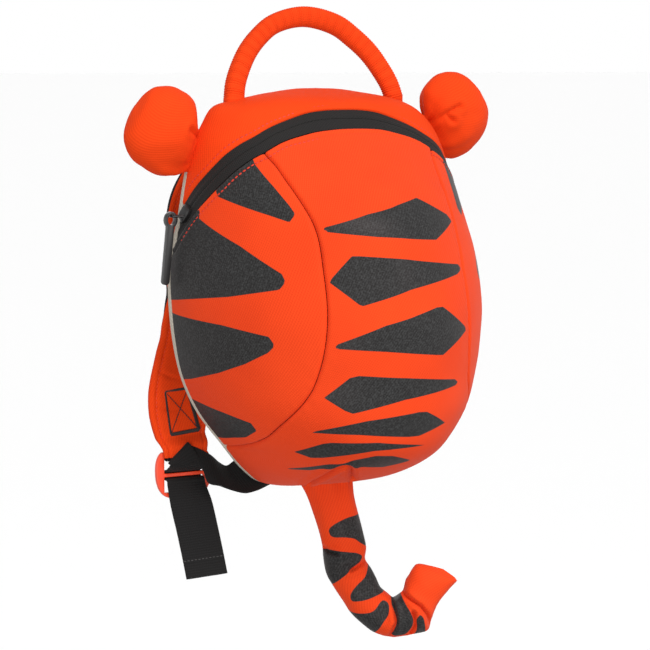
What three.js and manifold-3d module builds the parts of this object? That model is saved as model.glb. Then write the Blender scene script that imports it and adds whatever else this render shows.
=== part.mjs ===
import * as THREE from 'three';
import { mergeVertices } from 'three/addons/utils/BufferGeometryUtils.js';
import Module from 'manifold-3d';

// A small child's backpack with round ears, stripes and a stuffed tail, hanging by its carry
// handle. Millimetres, +Z up. The origin is the top of the handle's inside, where a hook or a
// finger carries it. The front faces -Y, and +X is to the right as seen from the front.
//
// The bag is a domed shell on a flat padded back. A point of its surface is named by two shares:
// across, from the left back seam (0) over the front to the right back seam (1), and down, from
// the top of the back seam (0) to its lowest point (1).

// Bag
const BAG_HEIGHT = 240;
const BAG_HALF_WIDTH = 97;
const BAG_DEPTH = 113;
const SHELL_WALL = 3;
const BACK_PAD = 6;
const GAP = 0.3;

// Zip
const ZIP_WIDTH = 13;
const TAPE_WALL = 1.2;
const TAPE_RECESS = 0.8;

// Carry handle
const HANDLE_INSIDE_HEIGHT = 36;
const HANDLE_LEAN = 14;
const HANDLE_WIDTH = 12.6;
const HANDLE_THICKNESS = 9;
const HANDLE_ROOT_SHARE = 0.146;

// Ears
const EAR_LENGTH = 46;
const EAR_HEIGHT = 52;
const EAR_THICKNESS = 30;
const EAR_ROOT_LEFT = 0.277;
const EAR_ROOT_RIGHT = 0.258;
const EAR_RAISE_LEFT = 19;
const EAR_RAISE_RIGHT = 22;

// Tail
const TAIL_DROP = 80;
const TAIL_SWING = 66;
const TAIL_WIDTH = 30;
const TAIL_TURN = -30;
const TAIL_FORWARD = 10;

// Shoulder straps
const STRAP_WIDTH = 37;
const STRAP_THICKNESS = 6;
const STRAP_BOW = 26;
const STRAP_SPREAD = 76.8;
const STRAP_TOP_DROP = 18;
const STRAP_LENGTH_DOWN = 197.5;
const STRAP_RAISE_RIGHT = 14;

// Ladder locks, webbing and the web loops that hold the locks
const WEB_WIDTH = 25;
const WEB_THICKNESS = 1.5;
const LOOP_THICKNESS = 1.2;
const LOCK_HEIGHT = 28;
const LOCK_THICKNESS = 3;
const LOCK_BULGE = 5.3;
const LOCK_END_BAR = 3.5;
const LOCK_MIDDLE_BAR = 2.2;
const SLOT_CLEARANCE = 0.7;
const WEB_TAIL_LEFT = 59.5;
const WEB_TAIL_RIGHT = 12;
const WEB_FORWARD_LEFT = 1;
const WEB_FORWARD_RIGHT = 0.1;

// Zip slider and puller
const SLIDER_ACROSS = 0.025;
const SLIDER_WIDTH = 7.5;
const SLIDER_LENGTH = 10;
const SLIDER_HEIGHT = 2.6;
const BAIL_REACH = 6.4;
const BAIL_SHIFT = 2;
const BAIL_WIRE = 1.4;
const RING_WIDTH = 8;
const RING_HEIGHT = 9.6;
const RING_WIRE = 1.8;
const PULLER_LENGTH = 31;
const PULLER_WIDTH = 4.4;
const PULLER_THICKNESS = 3;
const PULLER_TILT = 6;

// The right ear sits higher. The right strap hangs higher too, and its webbing lies flatter with a
// short free end, so that the bag hides both. webForward is the share of the wave towards the
// front that the webbing keeps.
const SIDES = [
  {
    side: 'left',
    sign: -1,
    earRoot: EAR_ROOT_LEFT,
    earRaise: EAR_RAISE_LEFT,
    strapRaise: 0,
    webTail: WEB_TAIL_LEFT,
    webForward: WEB_FORWARD_LEFT,
  },
  {
    side: 'right',
    sign: 1,
    earRoot: EAR_ROOT_RIGHT,
    earRaise: EAR_RAISE_RIGHT,
    strapRaise: STRAP_RAISE_RIGHT,
    webTail: WEB_TAIL_RIGHT,
    webForward: WEB_FORWARD_RIGHT,
  },
];

const BAG_TOP = -HANDLE_INSIDE_HEIGHT;
const BACK_SEAM_Y = -HANDLE_LEAN;
const PAD_FRONT_Y = BACK_SEAM_Y + GAP;
const PAD_BACK_Y = PAD_FRONT_Y + BACK_PAD;

// Sections of the bag, top to bottom: down is a share of the height, width of the half width and
// depth of the depth. round is the power of the section's curve, where 2 is an ellipse.
const SECTIONS = [
  { down: 0, width: 0, depth: 0, round: 2.05 },
  { down: 0.005, width: 0.207, depth: 0.088, round: 2.05 },
  { down: 0.035, width: 0.6, depth: 0.261, round: 2.02 },
  { down: 0.095, width: 0.801, depth: 0.354, round: 2 },
  { down: 0.19, width: 0.88, depth: 0.587, round: 1.9 },
  { down: 0.31, width: 0.937, depth: 0.87, round: 1.75 },
  { down: 0.43, width: 1, depth: 0.954, round: 1.8 },
  { down: 0.56, width: 0.994, depth: 1, round: 1.9 },
  { down: 0.69, width: 0.934, depth: 0.968, round: 2 },
  { down: 0.79, width: 0.822, depth: 0.94, round: 2.1 },
  { down: 0.88, width: 0.647, depth: 0.843, round: 2.1 },
  { down: 0.95, width: 0.499, depth: 0.517, round: 2.1 },
  { down: 0.988, width: 0.344, depth: 0.148, round: 2.1 },
  { down: 1, width: 0, depth: 0, round: 2.1 },
];

// Middle line of the zip, from the left back seam to the middle of the front.
const ZIP_HALF = [
  { across: 0, down: 0.4 },
  { across: 0.05, down: 0.36 },
  { across: 0.1, down: 0.329 },
  { across: 0.15, down: 0.302 },
  { across: 0.2, down: 0.28 },
  { across: 0.25, down: 0.262 },
  { across: 0.3, down: 0.242 },
  { across: 0.35, down: 0.226 },
  { across: 0.4, down: 0.213 },
  { across: 0.45, down: 0.207 },
  { across: 0.5, down: 0.206 },
];

// Seam between the middle of the front and the left side, from the zip to the back seam.
const SEAM_LINE = [
  { across: 0.257, down: 0.281 },
  { across: 0.276, down: 0.307 },
  { across: 0.289, down: 0.334 },
  { across: 0.3, down: 0.362 },
  { across: 0.315, down: 0.41 },
  { across: 0.326, down: 0.46 },
  { across: 0.33, down: 0.515 },
  { across: 0.323, down: 0.573 },
  { across: 0.307, down: 0.614 },
  { across: 0.287, down: 0.641 },
  { across: 0.259, down: 0.667 },
  { across: 0.213, down: 0.7 },
  { across: 0.16, down: 0.731 },
  { across: 0.105, down: 0.751 },
  { across: 0.05, down: 0.765 },
  { across: 0, down: 0.772 },
];

// Left half of the carry handle: out is a share of the root's distance from the middle, up of
// the rise and back of the lean, from the root to the top.
const HANDLE_HALF = [
  { out: 1, up: 0, back: 0 },
  { out: 0.96, up: 0.177, back: 0.17 },
  { out: 0.877, up: 0.366, back: 0.37 },
  { out: 0.757, up: 0.567, back: 0.58 },
  { out: 0.593, up: 0.748, back: 0.79 },
  { out: 0.388, up: 0.905, back: 0.92 },
  { out: 0, up: 1, back: 1 },
];

// Ear, from its pinched root to its round end: shares of its length, height and thickness.
// raised is how much of its raise it has there.
const EAR_SECTIONS = [
  { along: 0, height: 0.52, thickness: 0.2, raised: 0 },
  { along: 0.05, height: 0.58, thickness: 0.36, raised: 0.3 },
  { along: 0.14, height: 0.76, thickness: 0.66, raised: 0.6 },
  { along: 0.3, height: 0.94, thickness: 0.92, raised: 0.9 },
  { along: 0.48, height: 1, thickness: 1, raised: 1 },
  { along: 0.66, height: 0.93, thickness: 0.94, raised: 1 },
  { along: 0.82, height: 0.75, thickness: 0.76, raised: 1 },
  { along: 0.94, height: 0.46, thickness: 0.46, raised: 1 },
  { along: 1, height: 0.12, thickness: 0.12, raised: 1 },
];

// Tail, from its root to its end: swing, drop and width are shares of the named tail sizes, and
// flat is its thickness as a share of its width there.
const TAIL_SECTIONS = [
  { swing: 0, drop: 0, width: 1, flat: 0.66 },
  { swing: 0.064, drop: 0.174, width: 0.86, flat: 0.8 },
  { swing: 0.138, drop: 0.361, width: 0.83, flat: 0.88 },
  { swing: 0.174, drop: 0.52, width: 0.84, flat: 0.9 },
  { swing: 0.238, drop: 0.663, width: 0.83, flat: 0.92 },
  { swing: 0.33, drop: 0.791, width: 0.8, flat: 0.95 },
  { swing: 0.45, drop: 0.911, width: 0.77, flat: 1 },
  { swing: 0.615, drop: 1, width: 0.72, flat: 1 },
  { swing: 0.771, drop: 0.986, width: 0.72, flat: 0.96 },
  { swing: 0.88, drop: 0.889, width: 0.78, flat: 0.88 },
  { swing: 0.935, drop: 0.776, width: 0.85, flat: 0.78 },
  { swing: 1, drop: 0.648, width: 0.9, flat: 0.66 },
];

// Left shoulder strap, from the top of the back to the ladder lock: out is a share of the
// spread, back of the bow, down of the drop, and width of the strap's width.
const STRAP_SECTIONS = [
  { out: 0.443, back: 0, down: 0, width: 0.92 },
  { out: 0.495, back: 0.04, down: 0.07, width: 1 },
  { out: 0.7, back: 0.285, down: 0.152, width: 1 },
  { out: 0.86, back: 0.63, down: 0.253, width: 1 },
  { out: 0.86, back: 0.86, down: 0.385, width: 1 },
  { out: 0.84, back: 0.94, down: 0.5, width: 1 },
  { out: 0.853, back: 0.977, down: 0.587, width: 1 },
  { out: 0.885, back: 1, down: 0.663, width: 1 },
  { out: 0.9375, back: 0.94, down: 0.74, width: 1.02 },
  { out: 1, back: 0.86, down: 0.825, width: 1.05 },
  { out: 1.01, back: 0.785, down: 0.92, width: 1 },
  { out: 1, back: 0.708, down: 1, width: 0.76 },
];

// Both edges of the webbing on its way from the bag to the lock, in webbing widths from the
// middle of the lock's middle bar. It waves, rises in front of the lock and folds down.
const WEB_APPROACH = [
  { upper: [1.22, -0.35, 0.28], lower: [1.46, -1.02, -0.38] },
  { upper: [1.03, -0.25, 0.14], lower: [1.17, -1, -0.42] },
  { upper: [0.87, -0.2, 0.22], lower: [0.83, -0.94, -0.33] },
  { upper: [0.63, -0.2, 0.43], lower: [0.58, -0.8, -0.23] },
  { upper: [0.34, -0.2, 0.6], lower: [0.39, -0.55, -0.18] },
  { upper: [0.16, -0.18, 0.7], lower: [0.3, -0.34, 0.16] },
  { upper: [0.06, -0.18, 0.75], lower: [-0.46, -0.18, 0.28] },
  { upper: [0.03, -0.22, 0.785], lower: [-0.5, -0.22, 0.315] },
  { upper: [0.05, -0.27, 0.76], lower: [-0.48, -0.26, 0.295] },
  { upper: [0.14, -0.32, 0.59], lower: [-0.5, -0.26, 0.24] },
  { upper: [0.3, -0.28, 0.37], lower: [-0.5, -0.21, 0.2] },
];

// The webbing's way round the middle bar, as multiples of its distance from the bar's middle.
const WEB_ROUND_BAR = [
  { back: -1.2, up: 1.45 },
  { back: -0.5, up: 1.03 },
  { back: 0.25, up: 0.97 },
  { back: 0.85, up: 0.62 },
  { back: 1.04, up: 0 },
  { back: 0.85, up: -0.62 },
  { back: 0.2, up: -0.97 },
  { back: -0.6, up: -1 },
  { back: -1.3, up: -1.25 },
  { back: -1.5, up: -2.1 },
];

// The webbing's free end: down and side are shares of its length, forward is in webbing widths,
// and turn is the turn of its face towards the bag, in degrees.
const WEB_TAIL_SECTIONS = [
  { down: 0.25, side: 0.057, forward: 0.228, turn: 8 },
  { down: 0.5, side: 0.094, forward: 0.296, turn: 16 },
  { down: 0.75, side: 0.13, forward: 0.365, turn: 21 },
  { down: 1, side: 0.169, forward: 0.433, turn: 25 },
];

// The panels on both sides of the seam have the same rows along it, so that their edges match.
const SEAM_ROWS = 21;
const FRONT_ROWS = 30;

const SHARE_STEP = 0.002;
const POLE_SHARE = 0.01;

const colours = {
  orange: { color: 0xf2502a, roughness: 0.72, metalness: 0 },
  grey: { color: 0xb9b1a3, roughness: 0.9, metalness: 0 },
  black: { color: 0x262524, roughness: 0.8, metalness: 0 },
  plastic: { color: 0xf4573a, roughness: 0.38, metalness: 0 },
  blackPlastic: { color: 0x1d1c1c, roughness: 0.45, metalness: 0 },
};

function material(name) {
  return new THREE.MeshStandardMaterial(colours[name]);
}

// One named column of a table at a share of its rows, on a smooth curve through them.
function columnAt(rows, column, share) {
  const last = rows.length - 1;
  const place = THREE.MathUtils.clamp(share, 0, 1) * last;
  const row = Math.min(Math.floor(place), last - 1);
  const part = place - row;
  const here = rows[row][column];
  const next = rows[row + 1][column];
  const before = row > 0 ? rows[row - 1][column] : 2 * here - next;
  const after = row < last - 1 ? rows[row + 2][column] : 2 * next - here;
  const leave = (next - before) / 2;
  const arrive = (after - here) / 2;
  const cubic = 2 * here - 2 * next + leave + arrive;
  const square = 3 * next - 3 * here - 2 * leave - arrive;
  return ((cubic * part + square) * part + leave) * part + here;
}

function bagPoint([across, down]) {
  const power = 2 / columnAt(SECTIONS, 'round', down);
  const cosine = Math.cos(Math.PI * across);
  const sine = Math.max(Math.sin(Math.PI * across), 0);
  const halfWidth = columnAt(SECTIONS, 'width', down) * BAG_HALF_WIDTH;
  const depth = columnAt(SECTIONS, 'depth', down) * BAG_DEPTH;
  return new THREE.Vector3(
    -Math.sign(cosine) * Math.abs(cosine) ** power * halfWidth,
    BACK_SEAM_Y - sine ** power * depth,
    BAG_TOP - columnAt(SECTIONS, 'down', down) * BAG_HEIGHT,
  );
}

function slopes([across, down]) {
  const a = THREE.MathUtils.clamp(across, POLE_SHARE, 1 - POLE_SHARE);
  const d = THREE.MathUtils.clamp(down, POLE_SHARE, 1 - POLE_SHARE);
  const sideways = bagPoint([a + SHARE_STEP, d]).sub(bagPoint([a - SHARE_STEP, d]));
  const downward = bagPoint([a, d + SHARE_STEP]).sub(bagPoint([a, d - SHARE_STEP]));
  const span = 2 * SHARE_STEP;
  return { sideways: sideways.divideScalar(span), downward: downward.divideScalar(span) };
}

function bagNormal(place) {
  const { sideways, downward } = slopes(place);
  return downward.cross(sideways).normalize();
}

// A point under (or, with a negative depth, over) the bag's surface, kept before the back seam.
function under(place, depth) {
  const point = bagPoint(place).addScaledVector(bagNormal(place), -depth);
  point.y = Math.min(point.y, BACK_SEAM_Y);
  return point;
}

// The place a small distance to the right of a curve on the surface, as it runs.
function beside(curve, share, distance) {
  const here = curve(share);
  const ahead = bagPoint(curve(Math.min(share + POLE_SHARE, 1)));
  const tangent = ahead.sub(bagPoint(curve(Math.max(share - POLE_SHARE, 0)))).normalize();
  const aside = tangent.cross(bagNormal(here)).multiplyScalar(distance);
  const { sideways, downward } = slopes(here);
  const ss = sideways.dot(sideways);
  const sd = sideways.dot(downward);
  const dd = downward.dot(downward);
  const whole = ss * dd - sd * sd;
  const a = (aside.dot(sideways) * dd - aside.dot(downward) * sd) / whole;
  const d = (aside.dot(downward) * ss - aside.dot(sideways) * sd) / whole;
  return [THREE.MathUtils.clamp(here[0] + a, 0, 1), here[1] + d];
}

const zipRows = [
  ...ZIP_HALF,
  ...ZIP_HALF.slice(0, -1).reverse().map(({ across, down }) => ({ across: 1 - across, down })),
];

// The zip's line at a share across, moved down the surface by a distance.
function zipLine(across, distance = 0) {
  const middle = [across, columnAt(zipRows, 'down', across)];
  const ahead = Math.min(across + POLE_SHARE, 1);
  const behind = Math.max(across - POLE_SHARE, 0);
  const tangent = bagPoint([ahead, columnAt(zipRows, 'down', ahead)])
    .sub(bagPoint([behind, columnAt(zipRows, 'down', behind)]))
    .normalize();
  const reach = slopes(middle).downward.cross(tangent).length();
  return [across, middle[1] + distance / reach];
}

function seamLine(share) {
  return [columnAt(SEAM_LINE, 'across', share), columnAt(SEAM_LINE, 'down', share)];
}

function mirrored([across, down]) {
  return [1 - across, down];
}

// A closed solid from loops of points that follow each other, with flat ends.
function loft(rings) {
  const count = rings[0].length;
  const points = rings.flat();
  const faces = [];
  for (let ring = 0; ring < rings.length - 1; ring += 1) {
    for (let corner = 0; corner < count; corner += 1) {
      const next = (corner + 1) % count;
      const here = ring * count;
      const there = here + count;
      faces.push([here + corner, here + next, there + next]);
      faces.push([here + corner, there + next, there + corner]);
    }
  }
  const end = (rings.length - 1) * count;
  for (let corner = 1; corner < count - 1; corner += 1) {
    faces.push([0, corner + 1, corner]);
    faces.push([end, end + corner, end + corner + 1]);
  }
  return closed(points, faces);
}

// A geometry with its doubled points merged, its empty faces dropped and its faces outward.
function closed(points, faces) {
  const loose = new THREE.BufferGeometry();
  loose.setAttribute('position', new THREE.Float32BufferAttribute(points.flatMap((p) => p.toArray()), 3));
  loose.setIndex(faces.flat());
  const merged = mergeVertices(loose);
  const index = merged.getIndex().array;
  const kept = [];
  for (let i = 0; i < index.length; i += 3) {
    const [a, b, c] = [index[i], index[i + 1], index[i + 2]];
    if (a !== b && b !== c && c !== a) kept.push([a, b, c]);
  }
  const corner = (i) => new THREE.Vector3().fromBufferAttribute(merged.getAttribute('position'), i);
  const volume = kept.reduce((sum, [a, b, c]) => sum + corner(a).dot(corner(b).cross(corner(c))), 0);
  merged.setIndex(volume < 0 ? kept.flatMap(([a, b, c]) => [a, c, b]) : kept.flat());
  merged.computeVertexNormals();
  return merged;
}

// A piece of the bag's wall. place gives the shares for a grid place, and its outer face lies
// the given depth under the surface.
function panel(place, columns, rows, wall, depth = 0) {
  const points = [];
  for (const layer of [depth, depth + wall]) {
    for (let row = 0; row <= rows; row += 1) {
      for (let column = 0; column <= columns; column += 1) {
        points.push(under(place(column / columns, row / rows), layer));
      }
    }
  }
  const layerSize = (columns + 1) * (rows + 1);
  const at = (layer, row, column) => layer * layerSize + row * (columns + 1) + column;
  const faces = [];
  const quad = (a, b, c, d) => faces.push([a, b, c], [a, c, d]);
  for (let row = 0; row < rows; row += 1) {
    for (let column = 0; column < columns; column += 1) {
      quad(at(0, row, column), at(0, row + 1, column), at(0, row + 1, column + 1), at(0, row, column + 1));
      quad(at(1, row, column), at(1, row, column + 1), at(1, row + 1, column + 1), at(1, row + 1, column));
    }
    quad(at(0, row, 0), at(1, row, 0), at(1, row + 1, 0), at(0, row + 1, 0));
    quad(at(0, row, columns), at(0, row + 1, columns), at(1, row + 1, columns), at(1, row, columns));
  }
  for (let column = 0; column < columns; column += 1) {
    quad(at(0, 0, column), at(0, 0, column + 1), at(1, 0, column + 1), at(1, 0, column));
    quad(at(0, rows, column), at(1, rows, column), at(1, rows, column + 1), at(0, rows, column + 1));
  }
  return closed(points, faces);
}

// A grid place between four edges that meet at their corners.
function between(top, bottom, left, right) {
  const [t0, t1, b0, b1] = [top(0), top(1), bottom(0), bottom(1)];
  return (a, b) => [0, 1].map((i) => {
    const rows = top(a)[i] * (1 - b) + bottom(a)[i] * b;
    const columns = left(b)[i] * (1 - a) + right(b)[i] * a;
    const corners = (t0[i] * (1 - a) + t1[i] * a) * (1 - b) + (b0[i] * (1 - a) + b1[i] * a) * b;
    return rows + columns - corners;
  });
}

// Rings of an oval section along a path. sizes gives [width, thickness] at a share of the path,
// and wide is the direction that the width turns towards.
function tubeRings(path, steps, corners, wide, sizes, power = 2) {
  const rings = [];
  for (let step = 0; step <= steps; step += 1) {
    const share = step / steps;
    const middle = path.getPointAt(share);
    const tangent = path.getTangentAt(share);
    const across = wide.clone().addScaledVector(tangent, -wide.dot(tangent)).normalize();
    const depth = tangent.clone().cross(across);
    const [width, thickness] = sizes(share);
    const ring = [];
    for (let corner = 0; corner < corners; corner += 1) {
      const angle = (2 * Math.PI * (corner + 0.5)) / corners;
      const c = Math.cos(angle);
      const s = Math.sin(angle);
      ring.push(middle.clone()
        .addScaledVector(across, Math.sign(c) * Math.abs(c) ** (2 / power) * width / 2)
        .addScaledVector(depth, Math.sign(s) * Math.abs(s) ** (2 / power) * thickness / 2));
    }
    rings.push(ring);
  }
  return rings;
}

const bag = new THREE.Group();

function add(name, geometry, colour, parent = bag) {
  const mesh = new THREE.Mesh(geometry, material(colour));
  mesh.name = name;
  parent.add(mesh);
  return mesh;
}

// The three panels of the front shell, the hood over the zip and the two zip tapes
function addShell() {
  const half = ZIP_WIDTH / 2;
  const shellTop = (across) => zipLine(across, half);
  const seamStart = SEAM_LINE[0].across;
  const backSeam = (from, to) => (b) => [0, THREE.MathUtils.lerp(from, to, b)];
  const tip = [0, SEAM_LINE.at(-1).down];

  // Where a seam meets the zip it starts on the shell's top edge, not on the table's first row.
  const seamSide = (distance) => (share) => {
    const [across, down] = beside(seamLine, share, distance);
    const start = shellTop(across)[1];
    const first = beside(seamLine, 0, distance)[1];
    return [across, down + (start - first) * (1 - share) ** 6];
  };
  const outerSeam = seamSide(GAP / 2);
  const innerSeam = seamSide(-GAP / 2);

  const sideTop = (a) => shellTop(a * outerSeam(0)[0]);
  const sideTip = [0, outerSeam(1)[1]];
  const side = between(sideTop, () => sideTip, backSeam(shellTop(0)[1], sideTip[1]), outerSeam);
  add('side_panel_left', panel(side, 10, SEAM_ROWS, SHELL_WALL), 'orange');
  add('side_panel_right', panel((a, b) => mirrored(side(1 - a, b)), 10, SEAM_ROWS, SHELL_WALL), 'orange');

  const seamShare = SEAM_ROWS / FRONT_ROWS;
  const innerTip = innerSeam(1)[1];
  const frontLeft = (b) => (b < seamShare
    ? innerSeam(b / seamShare)
    : [0, THREE.MathUtils.lerp(innerTip, 1, (b - seamShare) / (1 - seamShare))]);
  const frontTop = (a) => {
    const left = innerSeam(0)[0];
    return shellTop(THREE.MathUtils.lerp(left, 1 - left, a));
  };
  const front = between(frontTop, (a) => [a, 1], frontLeft, (b) => mirrored(frontLeft(b)));
  add('front_panel', panel(front, 14, FRONT_ROWS, SHELL_WALL), 'orange');

  const hoodEdge = (a) => zipLine(a, -half);
  const hoodSide = (b) => [0, hoodEdge(0)[1] * b];
  const hood = between((a) => [a, 0], hoodEdge, hoodSide, (b) => mirrored(hoodSide(b)));
  add('hood', panel(hood, 28, 8, SHELL_WALL), 'orange');

  const tape = (from, to) => (a, b) => {
    const start = zipLine(a, from);
    const end = zipLine(a, to);
    return [a, THREE.MathUtils.lerp(start[1], end[1], b)];
  };
  add('zip_tape_upper', panel(tape(GAP - half, -GAP / 2), 28, 1, TAPE_WALL, TAPE_RECESS), 'black');
  add('zip_tape_lower', panel(tape(GAP / 2, half - GAP), 28, 1, TAPE_WALL, TAPE_RECESS), 'black');
}

// The padded back: the outline of the back seam with a rounded rim
function addBackPad() {
  const sides = 22;
  const left = [];
  for (let i = 0; i <= sides; i += 1) left.push(bagPoint([0, i / sides]));
  const right = left.slice(1, -1).reverse().map((p) => new THREE.Vector3(-p.x, p.y, p.z));
  const outline = [...left, ...right];
  const middle = new THREE.Vector3(0, 0, BAG_TOP - BAG_HEIGHT / 2);
  const rim = [
    { inset: BACK_PAD * 0.6, back: 0 },
    { inset: BACK_PAD * 0.1, back: 0.1 },
    { inset: 0.02 * BACK_PAD, back: 0.5 },
    { inset: BACK_PAD * 0.15, back: 0.85 },
    { inset: BACK_PAD * 0.6, back: 1 },
  ];
  const rings = rim.map(({ inset, back }) => outline.map((p) => {
    const arm = new THREE.Vector3(p.x, 0, p.z - middle.z);
    arm.setLength(arm.length() - inset);
    return new THREE.Vector3(arm.x, PAD_FRONT_Y + back * BACK_PAD, middle.z + arm.z);
  }));
  add('back_panel', loft(rings), 'grey');
}

// The outward direction of the back seam in its own plane
function seamNormal(down) {
  const ahead = bagPoint([0, down + SHARE_STEP]);
  const run = ahead.sub(bagPoint([0, down - SHARE_STEP]));
  return new THREE.Vector3(run.z, 0, -run.x).normalize();
}

function addHandle() {
  const seat = bagPoint([0, HANDLE_ROOT_SHARE]).addScaledVector(seamNormal(HANDLE_ROOT_SHARE), GAP);
  const rise = HANDLE_WIDTH / 2 - seat.z;
  const rootY = BACK_SEAM_Y + GAP;
  const place = (side) => ({ out, up, back }) => new THREE.Vector3(
    side * out * -seat.x,
    rootY * (1 - back),
    seat.z + up * rise,
  );
  const left = HANDLE_HALF.map(place(-1));
  const right = HANDLE_HALF.slice(0, -1).reverse().map(place(1));
  const path = new THREE.CatmullRomCurve3([...left, ...right]);
  const sizes = () => [HANDLE_THICKNESS, HANDLE_WIDTH];
  const rings = tubeRings(path, 30, 10, new THREE.Vector3(0, 1, 0), sizes, 2.4);

  // Both ends are cut to lie on the slope of the hood.
  for (const [ring, side] of [[rings[0], -1], [rings.at(-1), 1]]) {
    const normal = seamNormal(HANDLE_ROOT_SHARE);
    normal.x *= -side;
    for (const point of ring) {
      const fromSeat = point.x - side * -seat.x;
      point.z = seat.z - (normal.x / normal.z) * fromSeat;
    }
  }
  add('carry_handle', loft(rings), 'orange');
}

function addEars() {
  const about = new THREE.Vector3(0, 1, 0);
  for (const { side, sign, earRoot, earRaise } of SIDES) {
    const outward = seamNormal(earRoot);
    const root = bagPoint([0, earRoot]).addScaledVector(outward, GAP);
    root.y = PAD_FRONT_Y;
    const rings = EAR_SECTIONS.map(({ along, height, thickness, raised }) => {
      const axis = outward.clone().applyAxisAngle(about, THREE.MathUtils.degToRad(earRaise * raised));
      const tall = about.clone().cross(axis);
      const ring = [];
      for (let corner = 0; corner < 16; corner += 1) {
        const angle = (2 * Math.PI * corner) / 16;
        const point = root.clone()
          .addScaledVector(axis, along * EAR_LENGTH)
          .addScaledVector(tall, Math.cos(angle) * height * EAR_HEIGHT / 2);
        point.y += Math.sin(angle) * thickness * EAR_THICKNESS / 2;
        point.x *= -sign;
        ring.push(point);
      }
      return ring;
    });
    add(`ear_${side}`, loft(rings), 'orange');
  }
}

function addTail() {
  const swing = new THREE.Vector3(1, 0, 0)
    .applyAxisAngle(new THREE.Vector3(0, 0, 1), THREE.MathUtils.degToRad(TAIL_TURN));
  const flatTo = swing.clone().cross(new THREE.Vector3(0, 0, 1));
  const root = new THREE.Vector3(0, BACK_SEAM_Y - TAIL_FORWARD, BAG_TOP - BAG_HEIGHT - GAP);
  const path = new THREE.CatmullRomCurve3(TAIL_SECTIONS.map((row) => root.clone()
    .addScaledVector(swing, row.swing * TAIL_SWING)
    .setZ(root.z - row.drop * TAIL_DROP)));
  const steps = 26;
  const rings = [];
  for (let step = 0; step <= steps; step += 1) {
    const share = step / steps;
    const middle = path.getPoint(share);
    const tangent = path.getTangent(share);
    const across = tangent.clone().cross(flatTo).normalize();
    const width = columnAt(TAIL_SECTIONS, 'width', share) * TAIL_WIDTH;
    const thickness = width * columnAt(TAIL_SECTIONS, 'flat', share);
    rings.push(Array.from({ length: 14 }, (_, corner) => {
      const angle = (2 * Math.PI * corner) / 14;
      return middle.clone()
        .addScaledVector(across, Math.cos(angle) * width / 2)
        .addScaledVector(flatTo, Math.sin(angle) * thickness / 2);
    }));
  }
  for (const point of rings[0]) point.z = root.z;
  add('tail', loft(rings), 'orange');
}

// Straps, locks and webbing are worked out for the left side and mirrored for the right one.
function addSided(name, { side, sign }, rings, colour) {
  const placed = rings.map((ring) => ring.map((p) => new THREE.Vector3(-sign * p.x, p.y, p.z)));
  add(`${name}_${side}`, loft(placed), colour);
}

// A strap's middle line. Its lower end holds the lock.
function strapPoint({ out, back, down }, { strapRaise }) {
  return new THREE.Vector3(
    -out * STRAP_SPREAD,
    PAD_BACK_Y + GAP + STRAP_THICKNESS / 2 + back * STRAP_BOW,
    BAG_TOP - STRAP_TOP_DROP - down * (STRAP_LENGTH_DOWN - strapRaise),
  );
}

function strapEnd(side) {
  return strapPoint(STRAP_SECTIONS.at(-1), side);
}

function lockMiddle(side) {
  const drop = LOCK_HEIGHT / 2 + LOOP_THICKNESS + GAP;
  return strapEnd(side).add(new THREE.Vector3(0, -STRAP_THICKNESS / 3, -drop));
}

function addStrap(side) {
  const path = new THREE.CatmullRomCurve3(STRAP_SECTIONS.map((row) => strapPoint(row, side)));
  const steps = 24;
  const backward = new THREE.Vector3(0, 1, 0);
  const corners = [[-1, 0], [-0.9, 0.75], [-0.72, 1], [0.72, 1], [0.9, 0.75],
    [1, 0], [0.9, -0.75], [0.72, -1], [-0.72, -1], [-0.9, -0.75]];
  const rings = [];
  for (let step = 0; step <= steps; step += 1) {
    const share = step / steps;
    const middle = path.getPoint(share);
    const tangent = path.getTangent(share);
    const across = tangent.clone().cross(backward).normalize();
    const back = across.clone().cross(tangent);
    const width = columnAt(STRAP_SECTIONS, 'width', share) * STRAP_WIDTH / 2;
    rings.push(corners.map(([a, b]) => middle.clone()
      .addScaledVector(across, a * width)
      .addScaledVector(back, b * STRAP_THICKNESS / 2)));
  }
  for (const point of rings.at(-1)) point.z = strapEnd(side).z;
  addSided('shoulder_strap', side, rings, 'orange');
}

// A ribbon between two rows of edge points
function ribbonRings(upper, lower, steps, thickness) {
  const top = new THREE.CatmullRomCurve3(upper);
  const bottom = new THREE.CatmullRomCurve3(lower);
  const middle = (share) => top.getPoint(share).add(bottom.getPoint(share)).multiplyScalar(0.5);
  const rings = [];
  for (let step = 0; step <= steps; step += 1) {
    const share = step / steps;
    const ahead = middle(Math.min(share + SHARE_STEP, 1));
    const run = ahead.sub(middle(Math.max(share - SHARE_STEP, 0))).normalize();
    const a = top.getPoint(share);
    const b = bottom.getPoint(share);
    const face = b.clone().sub(a).cross(run).setLength(thickness / 2);
    rings.push([a.clone().add(face), b.clone().add(face), b.clone().sub(face), a.clone().sub(face)]);
  }
  return rings;
}

// A ribbon's lower edge, turned back about its upper edge to a share of its reach forward
function swungBack(upper, lower, share) {
  const across = lower.clone().sub(upper);
  const forward = across.y * share;
  const height = Math.sqrt(across.y ** 2 + across.z ** 2 - forward ** 2);
  return upper.clone().add(new THREE.Vector3(across.x, forward, Math.sign(across.z) * height));
}

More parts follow.
